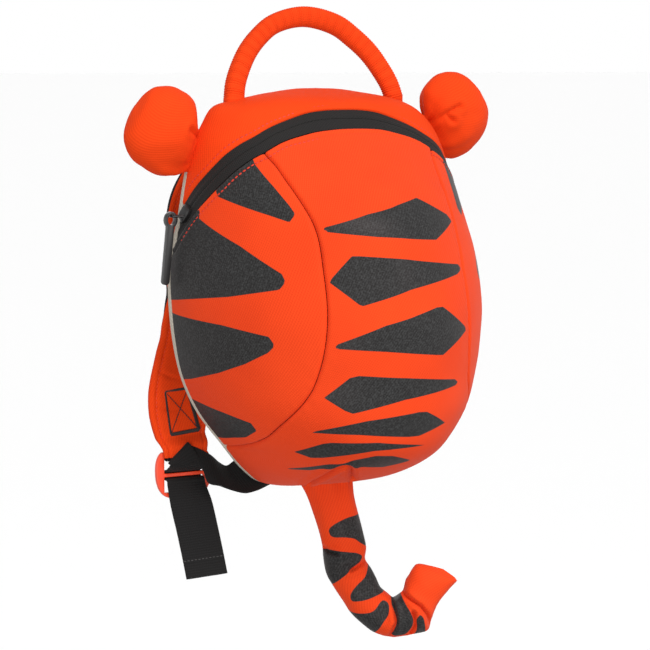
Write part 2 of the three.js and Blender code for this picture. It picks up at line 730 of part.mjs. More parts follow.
// The webbing runs from the bag's lower corner round the lock's middle bar to its free end.
function addWebbing(side) {
  const lock = lockMiddle(side);
  const corner = bagPoint([0, 0.86]);
  const rootX = corner.x * 0.46;
  const flat = PAD_BACK_Y + GAP * 2 + WEB_THICKNESS / 2;
  const fromRoot = (x, y, z) => new THREE.Vector3(rootX, flat, corner.z)
    .add(new THREE.Vector3(x, y, z).multiplyScalar(WEB_WIDTH));
  const fromLock = (share) => lock.clone().addScaledVector(share, WEB_WIDTH);
  const edges = [
    { upper: fromRoot(0, 0, 0.86), lower: fromRoot(0.22, 0, -0.12) },
    { upper: fromRoot(-0.4, 0.08, 0.6), lower: fromRoot(-0.28, 0, -0.36) },
  ];
  for (const row of WEB_APPROACH) {
    const upper = new THREE.Vector3(...row.upper);
    const lower = new THREE.Vector3(...row.lower);
    edges.push({ upper: fromLock(upper), lower: fromLock(swungBack(upper, lower, side.webForward)) });
  }
  const radius = LOCK_MIDDLE_BAR / 2 + SLOT_CLEARANCE + WEB_THICKNESS / 2;
  for (const { back, up } of WEB_ROUND_BAR) {
    const middle = lock.clone().add(new THREE.Vector3(0, back * radius, up * radius));
    const half = new THREE.Vector3(WEB_WIDTH / 2, 0, 0);
    edges.push({ upper: middle.clone().add(half), lower: middle.clone().sub(half) });
  }
  for (const { down, side: shift, forward, turn } of WEB_TAIL_SECTIONS) {
    const middle = lock.clone().add(new THREE.Vector3(
      shift * side.webTail,
      -forward * WEB_WIDTH,
      -down * side.webTail - LOCK_MIDDLE_BAR,
    ));
    const angle = THREE.MathUtils.degToRad(turn);
    const half = new THREE.Vector3(Math.cos(angle), -Math.sin(angle), Math.sin(angle) / 3)
      .setLength(WEB_WIDTH / 2);
    edges.push({ upper: middle.clone().add(half), lower: middle.clone().sub(half) });
  }
  const upper = edges.map((edge) => edge.upper);
  const lower = edges.map((edge) => edge.lower);
  addSided('webbing', side, ribbonRings(upper, lower, (edges.length - 1) * 2, WEB_THICKNESS), 'black');
}

// The loop of webbing that ties a lock's top bar to the end of its strap
function addWebLoop(side) {
  const lock = lockMiddle(side);
  const barMiddle = lock.z + LOCK_HEIGHT / 2 - LOCK_END_BAR / 2;
  const half = LOCK_THICKNESS / 2 + 2 * GAP + LOOP_THICKNESS / 2;
  const below = LOCK_END_BAR / 2 + GAP + LOOP_THICKNESS / 2;
  const top = strapEnd(side).z - GAP;
  const profile = [
    [-half, top],
    [-half, barMiddle - below * 0.5],
    [-half * 0.8, barMiddle - below * 1.05],
    [0, barMiddle - below * 1.3],
    [half * 0.8, barMiddle - below * 1.05],
    [half, barMiddle - below * 0.5],
    [half, top],
  ];
  const reach = WEB_WIDTH / 2 - SLOT_CLEARANCE;
  const edge = (x) => profile.map(([y, z]) => new THREE.Vector3(lock.x + x, lock.y + y, z));
  addSided('web_loop', side, ribbonRings(edge(reach), edge(-reach), 12, LOOP_THICKNESS), 'black');
}

// A plate standing in the X and Z plane, cut from an outline with its holes
function plate(outline, thickness) {
  const settings = { depth: thickness, bevelEnabled: false, curveSegments: 9 };
  const solid = new THREE.ExtrudeGeometry(outline, settings);
  solid.deleteAttribute('normal');
  solid.deleteAttribute('uv');
  solid.translate(0, 0, -thickness / 2);
  solid.rotateX(Math.PI / 2);
  const merged = mergeVertices(solid);
  merged.computeVertexNormals();
  return merged;
}

// A ladder lock: a frame with curved sides and two slots, and a bar between them
function addLocks() {
  const halfSlot = WEB_WIDTH / 2 + SLOT_CLEARANCE;
  const halfHeight = LOCK_HEIGHT / 2;
  const shoulder = halfSlot + LOCK_END_BAR / 3;
  const foot = halfSlot - LOCK_END_BAR;
  const widest = halfSlot + LOCK_BULGE;
  const bulgeHeight = halfHeight * 0.2;
  const outline = new THREE.Shape();
  outline.moveTo(-shoulder, halfHeight);
  outline.quadraticCurveTo(-widest, halfHeight * 0.8, -widest, bulgeHeight);
  outline.quadraticCurveTo(-widest, -halfHeight * 0.8, -foot, -halfHeight);
  outline.lineTo(foot, -halfHeight);
  outline.quadraticCurveTo(widest, -halfHeight * 0.8, widest, bulgeHeight);
  outline.quadraticCurveTo(widest, halfHeight * 0.8, shoulder, halfHeight);
  outline.closePath();
  const slot = (low, high) => {
    const hole = new THREE.Path();
    hole.moveTo(-halfSlot, low);
    hole.lineTo(halfSlot, low);
    hole.lineTo(halfSlot, high);
    hole.lineTo(-halfSlot, high);
    hole.closePath();
    outline.holes.push(hole);
  };
  slot(LOCK_MIDDLE_BAR / 2, halfHeight - LOCK_END_BAR);
  slot(-halfHeight + LOCK_END_BAR, -LOCK_MIDDLE_BAR / 2);
  for (const row of SIDES) {
    const lock = add(`ladder_lock_${row.side}`, plate(outline, LOCK_THICKNESS), 'plastic');
    lock.position.copy(lockMiddle(row));
    lock.position.x *= -row.sign;
  }
}

function toManifold(geometry) {
  return new manifold.Manifold(new manifold.Mesh({
    numProp: 3,
    vertProperties: new Float32Array(geometry.getAttribute('position').array),
    triVerts: new Uint32Array(geometry.getIndex().array),
  }));
}

function fromManifold(solid) {
  const mesh = solid.getMesh();
  const geometry = new THREE.BufferGeometry();
  geometry.setAttribute('position', new THREE.BufferAttribute(mesh.vertProperties, 3));
  geometry.setIndex(Array.from(mesh.triVerts));
  geometry.computeVertexNormals();
  return geometry;
}

// The slider rides on the zip's left end, with a bail that the puller's ring hangs on.
function addSliderAndPuller() {
  const place = zipLine(SLIDER_ACROSS);
  const normal = bagNormal(place);
  const seat = bagPoint(place).addScaledVector(normal, GAP - TAPE_RECESS);
  const ahead = bagPoint(zipLine(SLIDER_ACROSS + POLE_SHARE));
  const along = ahead.sub(bagPoint(zipLine(SLIDER_ACROSS - POLE_SHARE))).normalize();
  const across = normal.clone().cross(along).normalize();
  const profile = [[0.35, -0.5], [0.5, -0.28], [0.5, 0.28], [0.35, 0.5], [-0.35, 0.5],
    [-0.5, 0.28], [-0.5, -0.28], [-0.35, -0.5]];
  const layers = [{ height: 0, size: 1 }, { height: 0.75, size: 1 }, { height: 1, size: 0.8 }];
  const body = loft(layers.map(({ height, size }) => profile.map(([a, l]) => seat.clone()
    .addScaledVector(normal, height * SLIDER_HEIGHT)
    .addScaledVector(across, a * size * SLIDER_WIDTH)
    .addScaledVector(along, l * size * SLIDER_LENGTH))));

  const hinge = seat.clone()
    .addScaledVector(normal, SLIDER_HEIGHT / 2)
    .addScaledVector(along, -BAIL_SHIFT);
  hinge.x -= SLIDER_HEIGHT / 2 + BAIL_REACH;
  const halfRun = PULLER_THICKNESS / 2 + GAP + BAIL_WIRE / 2;
  const leg = SLIDER_HEIGHT / 2 + BAIL_REACH;
  const bailPath = new THREE.CatmullRomCurve3([
    new THREE.Vector3(leg, -halfRun, 0),
    new THREE.Vector3(BAIL_WIRE, -halfRun, 0),
    new THREE.Vector3(0, -halfRun + BAIL_WIRE / 4, 0),
    new THREE.Vector3(0, 0, 0),
    new THREE.Vector3(0, halfRun - BAIL_WIRE / 4, 0),
    new THREE.Vector3(BAIL_WIRE, halfRun, 0),
    new THREE.Vector3(leg, halfRun, 0),
  ].map((point) => point.add(hinge)), false, 'centripetal');
  const wire = () => [BAIL_WIRE, BAIL_WIRE];
  const bail = loft(tubeRings(bailPath, 16, 8, new THREE.Vector3(0, 0, 1), wire));
  add('zip_slider', fromManifold(toManifold(body).add(toManifold(bail))), 'blackPlastic');

  const ringDrop = RING_HEIGHT / 2 - RING_WIRE - BAIL_WIRE / 2 - GAP;
  const halfTab = PULLER_WIDTH / 2;
  const meet = Math.acos(halfTab / (RING_WIDTH / 2));
  const outline = new THREE.Shape();
  outline.absellipse(0, -ringDrop, RING_WIDTH / 2, RING_HEIGHT / 2, -meet, Math.PI + meet, false);
  outline.lineTo(-halfTab, -ringDrop - RING_HEIGHT / 2 - PULLER_LENGTH);
  outline.absarc(0, -ringDrop - RING_HEIGHT / 2 - PULLER_LENGTH, halfTab, Math.PI, 2 * Math.PI, false);
  outline.closePath();
  const hole = new THREE.Path();
  const holeWidth = RING_WIDTH / 2 - RING_WIRE;
  hole.absellipse(0, -ringDrop, holeWidth, RING_HEIGHT / 2 - RING_WIRE, 0, 2 * Math.PI, true);
  outline.holes.push(hole);
  const puller = add('zip_puller', plate(outline, PULLER_THICKNESS), 'blackPlastic');
  puller.geometry.rotateY(THREE.MathUtils.degToRad(PULLER_TILT));
  puller.position.copy(hinge);
}

const manifold = await Module();
manifold.setup();

addShell();
addBackPad();
addHandle();
addEars();
addTail();
for (const row of SIDES) {
  addStrap(row);
  addWebbing(row);
  addWebLoop(row);
}
addLocks();
addSliderAndPuller();

export default bag;
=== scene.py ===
# %% [markdown]
# # A small child's backpack, hanging by its carry handle
#
# The bag is a domed shell of foam-backed cloth on a flat padded back. It has two stuffed ears,
# printed stripes, a curved zip, and a stuffed tail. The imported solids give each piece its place.
# This lesson dresses them: every piece is made in metres, in the frame of the solids.

# %% Load the frame
import math
import bpy
import numpy as np
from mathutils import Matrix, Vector, noise


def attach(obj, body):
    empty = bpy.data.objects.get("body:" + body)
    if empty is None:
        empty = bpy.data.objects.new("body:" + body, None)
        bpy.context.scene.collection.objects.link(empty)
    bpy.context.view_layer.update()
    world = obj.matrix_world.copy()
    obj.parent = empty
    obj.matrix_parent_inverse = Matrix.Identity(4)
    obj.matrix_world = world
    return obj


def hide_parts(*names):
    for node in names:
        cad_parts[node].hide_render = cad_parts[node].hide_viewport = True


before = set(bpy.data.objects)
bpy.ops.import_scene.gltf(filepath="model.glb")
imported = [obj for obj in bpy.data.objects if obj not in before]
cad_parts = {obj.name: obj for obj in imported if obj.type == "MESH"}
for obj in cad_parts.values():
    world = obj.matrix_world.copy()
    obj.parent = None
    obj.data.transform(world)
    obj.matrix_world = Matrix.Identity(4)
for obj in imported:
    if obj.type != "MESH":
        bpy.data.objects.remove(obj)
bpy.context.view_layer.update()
MM = 0.001
bpy.ops.object.select_all(action="DESELECT")

# %% [markdown]
# The camera comes first. It stands a metre and a half away, 30 degrees to the left of the front
# and 6 degrees up, so its long lens shows the left side and the front together. It could be set by
# hand until it looks right. Two angles and a distance can be checked and kept.

# %% Camera
azimuth = math.radians(-30)
elevation = math.radians(6)
aim = Vector((0, -0.02535, -0.17775))
to_camera = Vector((
    math.sin(azimuth) * math.cos(elevation),
    -math.cos(azimuth) * math.cos(elevation),
    math.sin(elevation),
))
bpy.ops.object.camera_add(
    location=aim + 1.5 * to_camera,
    rotation=(math.pi / 2 - elevation, 0, azimuth),
)
camera = bpy.context.object
camera.data.lens = 138.46
camera.data.sensor_width = 36
bpy.context.scene.camera = camera
print("camera at", [round(c, 3) for c in camera.location])

# %% [markdown]
# The ground is a white floor a metre below, because the bag hangs. A floor that lights the bag
# from below would make its underside milky, so only the camera sees this one.

# %% Floor
bpy.ops.mesh.primitive_plane_add(size=400, location=(0, 0, -1.0))
floor = bpy.context.object
floor.name = "studio_floor"
white = bpy.data.materials.new("studio_floor")
white.use_nodes = True
paint = white.node_tree.nodes["Principled BSDF"]
paint.inputs["Base Color"].default_value = (0.99, 0.99, 0.99, 1)
paint.inputs["Roughness"].default_value = 0.9
floor.data.materials.append(white)
floor.visible_diffuse = False
floor.visible_glossy = False
print("floor at z:", floor.location.z)

# %% [markdown]
# The world is white at the horizon and softer above and below, so that the dome still looks
# round. Shader nodes make that slope. `node` adds one and sets or links its sockets, `maths` adds
# or multiplies, and `ranged` stretches one range of values onto another.

# %% World
def node(tree, kind, values=None, **settings):
    made = tree.nodes.new(kind)
    for setting, value in settings.items():
        setattr(made, setting, value)
    for socket, value in (values or {}).items():
        if isinstance(value, bpy.types.NodeSocket):
            tree.links.new(value, made.inputs[socket])
        else:
            made.inputs[socket].default_value = value
    return made


def maths(tree, operation, first, second=0.0, third=0.0, clamp=False):
    values = {0: first, 1: second, 2: third}
    return node(tree, "ShaderNodeMath", values, operation=operation, use_clamp=clamp).outputs[0]


def ranged(tree, value, start, end, low=0.0, high=1.0):
    limits = {"Value": value, "From Min": start, "From Max": end, "To Min": low, "To Max": high}
    return node(tree, "ShaderNodeMapRange", limits).outputs[0]


world = bpy.data.worlds.new("studio")
world.use_nodes = True
sky = world.node_tree
direction = node(sky, "ShaderNodeTexCoord").outputs["Generated"]
height = node(sky, "ShaderNodeSeparateXYZ", {0: direction}).outputs["Z"]
above = ranged(sky, height, 0.08, 0.3, 1.0, 0.4)
below = ranged(sky, height, -0.4, -0.05, 0.6, 1.0)
background = sky.nodes["Background"]
background.inputs["Color"].default_value = (1, 1, 1, 1)
sky.links.new(maths(sky, "MULTIPLY", above, below), background.inputs["Strength"])
bpy.context.scene.world = world
print("world nodes:", len(sky.nodes))

# %% [markdown]
# A wide sun from above in front models the dome. Three area lamps lift its right side, the straps
# and the tail, and the edges behind. Blender's standard view keeps the orange as strong as the
# paint it is set to. Its usual view would pale it.

# %% Lamps
BAG_MIDDLE = Vector((0, -0.05, -0.16))


def lamp(name, place, kind, power, size):
    bpy.ops.object.light_add(type=kind, location=place)
    light = bpy.context.object
    light.name = name
    light.data.energy = power
    if kind == "SUN":
        light.data.angle = size
    else:
        light.data.size = size
    aim_line = BAG_MIDDLE - Vector(place)
    light.rotation_euler = aim_line.to_track_quat("-Z", "Y").to_euler()


lamp("top_sun", (-0.1, -1.0, 1.25), "SUN", 2.25, math.radians(22))
lamp("key_lamp", (0.75, -1.6, 0.55), "AREA", 9, 0.5)
lamp("low_lamp", (-1.1, -1.6, -0.5), "AREA", 12, 0.7)
lamp("back_lamp", (0.5, 1.8, 0.6), "AREA", 5, 1.2)
bpy.context.scene.view_settings.view_transform = "Standard"

# %% [markdown]
# Curves through a few chosen points give almost every shape here. `row_at` reads a table at any
# share of its rows, and `through` is the smooth curve that passes its points without swinging
# wide where they lie unevenly, which suits webbing.

# %% Smooth tables and curves
def row_at(table, share):
    """Values of a table at shares 0 to 1 of its rows, on a smooth curve through them."""
    rows = np.asarray(table, float)
    last = len(rows) - 1
    place = np.clip(np.asarray(share, float), 0, 1) * last
    index = np.minimum(place.astype(int), last - 1)
    part = (place - index)[..., None]
    here, after = rows[index], rows[index + 1]
    before = np.where((index > 0)[..., None], rows[np.maximum(index - 1, 0)], 2 * rows[0] - rows[1])
    beyond = np.where(
        (index < last - 1)[..., None], rows[np.minimum(index + 2, last)], 2 * rows[-1] - rows[-2]
    )
    leave, arrive = (after - before) / 2, (beyond - here) / 2
    cubic = 2 * here - 2 * after + leave + arrive
    square = 3 * after - 3 * here - 2 * leave - arrive
    return ((cubic * part + square) * part + leave) * part + here


def through(points, share):
    """Points of the centripetal curve through points, at shares 0 to 1 of its spans."""
    rows = np.asarray(points, float)
    rows = np.vstack([2 * rows[0] - rows[1], rows, 2 * rows[-1] - rows[-2]])
    spans = len(rows) - 3
    place = np.clip(np.asarray(share, float), 0, 1) * spans
    index = np.minimum(place.astype(int), spans - 1)
    part = (place - index)[..., None]
    a, b, c, d = rows[index], rows[index + 1], rows[index + 2], rows[index + 3]
    ab, bc, cd = (
        np.linalg.norm(q - p, axis=-1, keepdims=True) ** 0.5 for p, q in ((a, b), (b, c), (c, d))
    )
    leave = ((b - a) / ab - (c - a) / (ab + bc) + (c - b) / bc) * bc
    arrive = ((c - b) / bc - (d - b) / (bc + cd) + (d - c) / cd) * bc
    cubic = 2 * b - 2 * c + leave + arrive
    square = 3 * c - 3 * b - 2 * leave - arrive
    return ((cubic * part + square) * part + leave) * part + b


print("middle of a test table:", row_at([[0], [1], [4]], np.array([0.5])))

# %% [markdown]
# The shell is a stack of D-shaped sections on the back seam. A place on it has two shares:
# across, from the left back seam over the front to the right one, and down, from its top to its
# lowest point. The rows are the same as those of the solids, so both have one shape.

# %% The bag's surface
BAG_TOP = -36
BAG_HEIGHT = 240
BAG_HALF_WIDTH = 97
BAG_DEPTH = 113
BACK_SEAM_Y = -14
SECTIONS = [  # down, width, depth, round
    (0, 0, 0, 2.05), (0.005, 0.207, 0.088, 2.05), (0.035, 0.6, 0.261, 2.02), (0.095, 0.801, 0.354, 2),
    (0.19, 0.88, 0.587, 1.9), (0.31, 0.937, 0.87, 1.75), (0.43, 1, 0.954, 1.8), (0.56, 0.994, 1, 1.9),
    (0.69, 0.934, 0.968, 2), (0.79, 0.822, 0.94, 2.1), (0.88, 0.647, 0.843, 2.1),
    (0.95, 0.499, 0.517, 2.1), (0.988, 0.344, 0.148, 2.1), (1, 0, 0, 2.1),
]


def unit(vectors):
    return vectors / np.maximum(np.linalg.norm(vectors, axis=-1, keepdims=True), 1e-9)


def signed_power(value, power):
    """A value's size to a power, with its sign kept. A power below 1 squares off a circle."""
    return np.sign(value) * np.abs(value) ** power


def bag(across, down):
    """Points of the shell's surface, in millimetres."""
    section = row_at(SECTIONS, down)
    cosine, sine = np.cos(np.pi * across), np.maximum(np.sin(np.pi * across), 0)
    power = 2 / section[..., 3]
    return np.stack([
        -signed_power(cosine, power) * section[..., 1] * BAG_HALF_WIDTH,
        BACK_SEAM_Y - sine ** power * section[..., 2] * BAG_DEPTH,
        BAG_TOP - section[..., 0] * BAG_HEIGHT,
    ], axis=-1)


def bag_slopes(across, down):
    a, d = np.clip(across, 0.01, 0.99), np.clip(down, 0.01, 0.99)
    step = 0.002
    sideways = (bag(a + step, d) - bag(a - step, d)) / (2 * step)
    downward = (bag(a, d + step) - bag(a, d - step)) / (2 * step)
    return sideways, downward


def bag_normal(across, down):
    sideways, downward = bag_slopes(across, down)
    return unit(np.cross(downward, sideways))


print("front of the dome, mm:", bag(np.array([0.5]), np.array([0.56])).round(1))

# %% [markdown]
# The zip and the side seams are lines on that surface, in the same two shares. Hems and rows of
# stitches run beside them, so each line can be moved over the surface by a distance.

# %% Zip and side seams
ZIP_ROWS = [0.4, 0.36, 0.329, 0.302, 0.28, 0.262, 0.242, 0.226, 0.213, 0.207, 0.206]
ZIP_ROWS = [[down] for down in ZIP_ROWS + ZIP_ROWS[-2::-1]]
SEAM_ROWS = [
    (0.257, 0.281), (0.276, 0.307), (0.289, 0.334), (0.3, 0.362), (0.315, 0.41), (0.326, 0.46),
    (0.33, 0.515), (0.323, 0.573), (0.307, 0.614), (0.287, 0.641), (0.259, 0.667), (0.213, 0.7),
    (0.16, 0.731), (0.105, 0.751), (0.05, 0.765), (0, 0.772),
]
ZIP_HALF_WIDTH = 6.5
SEAM_GAP = 0.15


def zip_down(across):
    return row_at(ZIP_ROWS, across)[..., 0]


def zip_line(across, distance=0.0):
    """Shares of the zip's middle line, moved down the shell by a distance."""
    down = zip_down(across)
    ahead, behind = np.minimum(across + 0.01, 1), np.maximum(across - 0.01, 0)
    tangent = unit(bag(ahead, zip_down(ahead)) - bag(behind, zip_down(behind)))
    reach = np.linalg.norm(np.cross(bag_slopes(across, down)[1], tangent), axis=-1)
    return across, down + distance / reach


def beside_seam(share, distance):
    across, down = row_at(SEAM_ROWS, share).T
    ahead = row_at(SEAM_ROWS, np.minimum(share + 0.01, 1))
    behind = row_at(SEAM_ROWS, np.maximum(share - 0.01, 0))
    tangent = unit(bag(*ahead.T) - bag(*behind.T))
    aside = np.cross(bag_normal(across, down), tangent) * distance
    sideways, downward = bag_slopes(across, down)
    pairs = ((sideways, sideways), (sideways, downward), (downward, downward))
    ss, sd, dd = ((p * q).sum(-1) for p, q in pairs)
    a, d = (aside * sideways).sum(-1), (aside * downward).sum(-1)
    whole = ss * dd - sd * sd
    return np.clip(across + (a * dd - d * sd) / whole, 0, 1), down + (d * ss - a * sd) / whole


def seam_line(share, distance=0.0):
    """Shares of the left side seam, moved towards the front's middle by a distance."""
    across, down = beside_seam(share, distance)
    first = beside_seam(np.zeros(1), distance)[1]
    start = zip_line(across, ZIP_HALF_WIDTH)[1]
    return across, down + (start - first) * (1 - share) ** 6


seam_points = bag(*seam_line(np.linspace(0, 1, 160)))
right_seam_points = seam_points * (-1, 1, 1)
zip_top_points = bag(*zip_line(np.linspace(0, 1, 260), -ZIP_HALF_WIDTH))
zip_low_points = bag(*zip_line(np.linspace(0, 1, 260), ZIP_HALF_WIDTH))


def lengths_along(line):
    """How far each point of a line lies from its start."""
    return np.concatenate([[0], np.cumsum(np.linalg.norm(np.diff(line, axis=0), axis=1))])


print("side seam, mm:", round(float(lengths_along(seam_points)[-1])))

# %% [markdown]
# Sewn cloth has hardly a straight line, so boxes cut and pulled into shape wouldn't get far. Each
# cloth piece starts as a grid, the way cloth is cut, and its points are moved onto the bag. Its UV
# map is kept in metres of cloth, so that a weave has its real size on every piece.

# %% Making a piece from a grid
def lay_out(piece, across, down, points):
    """Writes the UV map of a grid, in metres of cloth."""
    order = np.lexsort((across.round(5), down.round(5)))
    wide = len(np.unique(across.round(5)))
    table = points[order].reshape(-1, wide, 3)
    run = np.zeros(table.shape[:2])
    run[:, 1:] = np.cumsum(np.linalg.norm(np.diff(table, axis=1), axis=2), axis=1)
    run -= run[:, wide // 2][:, None]
    fall = np.zeros(table.shape[:2])
    fall[1:] = np.cumsum(np.linalg.norm(np.diff(table, axis=0), axis=2).mean(1))[:, None]
    flat = np.empty((len(points), 2))
    flat[order] = np.stack([run.ravel(), -fall.ravel()], axis=1) * MM
    corners = np.empty(len(piece.data.loops), int)
    piece.data.loops.foreach_get("vertex_index", corners)
    piece.data.uv_layers.active.data.foreach_set("uv", flat[corners].ravel())


def grid_piece(name, columns, rows, place):
    """A grid whose points are moved to place(across, down), in millimetres."""
    bpy.ops.mesh.primitive_grid_add(x_subdivisions=columns, y_subdivisions=rows, size=1)
    piece = bpy.context.object
    piece.name = piece.data.name = name
    flat = np.empty(len(piece.data.vertices) * 3)
    piece.data.vertices.foreach_get("co", flat)
    flat = flat.reshape(-1, 3)
    across, down = flat[:, 0] + 0.5, 0.5 - flat[:, 1]
    points = place(across, down)
    piece.data.vertices.foreach_set("co", (points * MM).ravel())
    piece.data.update()
    lay_out(piece, across, down, points)
    return piece


def point_values(piece, name, values):
    layer = piece.data.attributes.new(name, "FLOAT", "POINT")
    layer.data.foreach_set("value", np.asarray(values, np.float32).ravel())


print("metres in a millimetre:", MM)

# %% [markdown]
# A grid piece then goes through the same few steps as by hand: doubled points are merged, a
# modifier may give it thickness, and it gets a material and smooth shading. The last step also
# says which body the piece moves with, and hides the solids it stands for.

# %% Finishing a piece
def select_only(piece):
    bpy.ops.object.select_all(action="DESELECT")
    piece.select_set(True)
    bpy.context.view_layer.objects.active = piece


def modify(piece, kind, **settings):
    """Adds one modifier, sets it and applies it."""
    select_only(piece)
    modifier = piece.modifiers.new(kind.title(), kind)
    for setting, value in settings.items():
        setattr(modifier, setting, value)
    bpy.ops.object.modifier_apply(modifier=modifier.name)


def weld(piece, reach=0.01, holes=False):
    """Merges doubled points, closes open ends if asked, and turns all faces outward."""
    select_only(piece)
    bpy.ops.object.mode_set(mode="EDIT")
    bpy.ops.mesh.select_all(action="SELECT")
    bpy.ops.mesh.remove_doubles(threshold=reach * MM)
    if holes:
        bpy.ops.mesh.fill_holes(sides=0)
    bpy.ops.mesh.normals_make_consistent(inside=False)
    bpy.ops.object.mode_set(mode="OBJECT")


def finish_piece(piece, material, slot, *nodes, body="bag", angle=50, padding=None):
    """Gives a piece its material and its body, and hides the solids that it stands for."""
    piece.data.materials.clear()
    piece.data.materials.append(material)
    select_only(piece)
    bpy.ops.object.shade_smooth_by_angle(angle=math.radians(angle))
    bpy.ops.object.select_all(action="DESELECT")
    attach(piece, body)
    if nodes:
        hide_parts(*nodes)
    print(piece.name, "faces:", len(piece.data.polygons))


# %% [markdown]
# Sewn cloth is never flat. Its relief is a sum of a few simple shapes: a rolled edge, a ridge or
# a groove beside a line, and slow noise. All of them are worked out from distances in millimetres.

# %% Relief
def line_distance(points, line):
    """Distance from points to an open line."""
    best = np.full(len(points), 1e9)
    for start, end in zip(np.asarray(line[:-1], float), np.asarray(line[1:], float)):
        along = np.clip(((points - start) @ (end - start)) / ((end - start) @ (end - start)), 0, 1)
        best = np.minimum(best, np.linalg.norm(points - start - along[:, None] * (end - start), axis=1))
    return best


def nearest(points, *lines):
    """Distance from each point to the nearest of some lines, in millimetres."""
    return np.min([line_distance(points, line) for line in lines], axis=0)


def rolled(distance, radius):
    """How far a rolled edge has dropped at a distance from its end."""
    inside = np.clip(radius - distance, 0, radius)
    return radius - np.sqrt(np.maximum(radius ** 2 - inside ** 2, 0))


def ridge(distance, width, centre=0.0):
    """A smooth ridge of height 1 at a distance, with its half width."""
    return np.exp(-((distance - centre) / width) ** 2)


def ripples(points, size, seed):
    """Smooth noise from -1 to 1 at points, with lumps of a size in millimetres."""
    return np.array([noise.noise(Vector(p) / size + Vector((seed, 0, 0))) for p in points])


print("a 2 mm roll at 0, 1 and 2 mm from its edge:", rolled(np.arange(3.0), 2.0).round(2))

# %% [markdown]
# The cloth is a fine twill of orange yarn. Its ribs come from bands that cross on the UV map, a
# millimetre and a half apart, with a slow change of tone over them. The print is a rubbery dark
# ink: a value on the points says how far inside a stripe they lie, and the material turns that
# into a crisp edge, a grainy dark colour and a smoother surface.

# %% Weave and print
def bands(tree, vector, pitch, turn):
    """Soft parallel ribs with a pitch in metres, turned on the cloth."""
    turned = node(tree, "ShaderNodeMapping", {"Vector": vector, "Rotation": (0, 0, turn)})
    return node(
        tree, "ShaderNodeTexWave", {"Vector": turned.outputs[0], "Scale": 0.314 / pitch},
        wave_type="BANDS", bands_direction="X", wave_profile="SIN",
    ).outputs["Fac"]


def speckle(tree, vector, scale, detail=2.0):
    values = {"Vector": vector, "Scale": scale, "Detail": detail}
    return node(tree, "ShaderNodeTexNoise", values).outputs["Fac"]


def mixed(tree, share, first, second):
    mix = node(tree, "ShaderNodeMix", data_type="RGBA")
    for socket, value in ((mix.inputs[0], share), (mix.inputs[6], first), (mix.inputs[7], second)):
        if isinstance(value, bpy.types.NodeSocket):
            tree.links.new(value, socket)
        else:
            socket.default_value = value
    return mix.outputs[2]


INK, WORN_INK = (0.0135, 0.014, 0.014), (0.047, 0.049, 0.049)


def cloth(name, colour, shade, pitch=0.0015, turn=0.6, roughness=0.72, bump=0.4, printed=False):
    """Woven cloth with twill ribs, a slow change of tone and, if asked, a dark print."""
    finish = bpy.data.materials.new(name)
    finish.use_nodes = True
    tree = finish.node_tree
    shader = tree.nodes["Principled BSDF"]
    uv = node(tree, "ShaderNodeUVMap").outputs[0]
    spot = node(tree, "ShaderNodeTexCoord").outputs["Object"]
    ribs = bands(tree, uv, pitch, turn)
    yarns = bands(tree, uv, pitch * 0.8, turn + math.pi / 2)
    weave = maths(tree, "MULTIPLY_ADD", ribs, 0.7, maths(tree, "MULTIPLY", yarns, 0.3))
    slow = speckle(tree, spot, 22.0, 3.0)
    tone = maths(tree, "MULTIPLY_ADD", weave, 0.4, maths(tree, "MULTIPLY", slow, 0.6))
    surface = mixed(tree, tone, (*shade, 1), (*colour, 1))
    height = weave
    rough = maths(tree, "MULTIPLY_ADD", slow, 0.12, roughness - 0.06)
    if printed:
        inside = node(tree, "ShaderNodeAttribute", attribute_name="print_inside").outputs["Fac"]
        ink = maths(tree, "MULTIPLY_ADD", inside, 3.0, 0.5, clamp=True)
        grain = speckle(tree, spot, 900.0)
        worn = maths(tree, "MULTIPLY", ranged(tree, grain, 0.42, 0.7), 0.65)
        ribbed = maths(tree, "MULTIPLY_ADD", weave, 0.35, worn)
        dark = mixed(tree, ribbed, (*INK, 1), (*WORN_INK, 1))
        surface = mixed(tree, ink, surface, dark)
        height = mixed(tree, ink, weave, maths(tree, "MULTIPLY_ADD", grain, 0.8, 0.4))
        rough = mixed(tree, ink, rough, (0.46, 0.46, 0.46, 1))
    tree.links.new(surface, shader.inputs["Base Color"])
    tree.links.new(rough, shader.inputs["Roughness"])
    relief = node(tree, "ShaderNodeBump", {"Height": height, "Strength": bump, "Distance": 0.00025})
    tree.links.new(relief.outputs[0], shader.inputs["Normal"])
    base_tint = 0.75 if printed else 0.12
    tint = [min(1.0, base_tint + (1 - base_tint) * c / max(colour)) for c in colour]
    shader.inputs["Sheen Weight"].default_value = 0.05
    shader.inputs["Sheen Tint"].default_value = (*tint, 1)
    shader.inputs["Sheen Roughness"].default_value = 0.5
    shader.inputs["Specular IOR Level"].default_value = 0.12
    shader.inputs["Specular Tint"].default_value = (*tint, 1)
    return finish


print("ink:", INK, "worn ink:", WORN_INK)

# %% [markdown]
# Six cloths come from that one recipe. The orange twill is the same on every panel, with or
# without the print. The handle's tape and the webbing have straight ribs across them. The zip's
# tape and the mesh of the back have a looser weave.

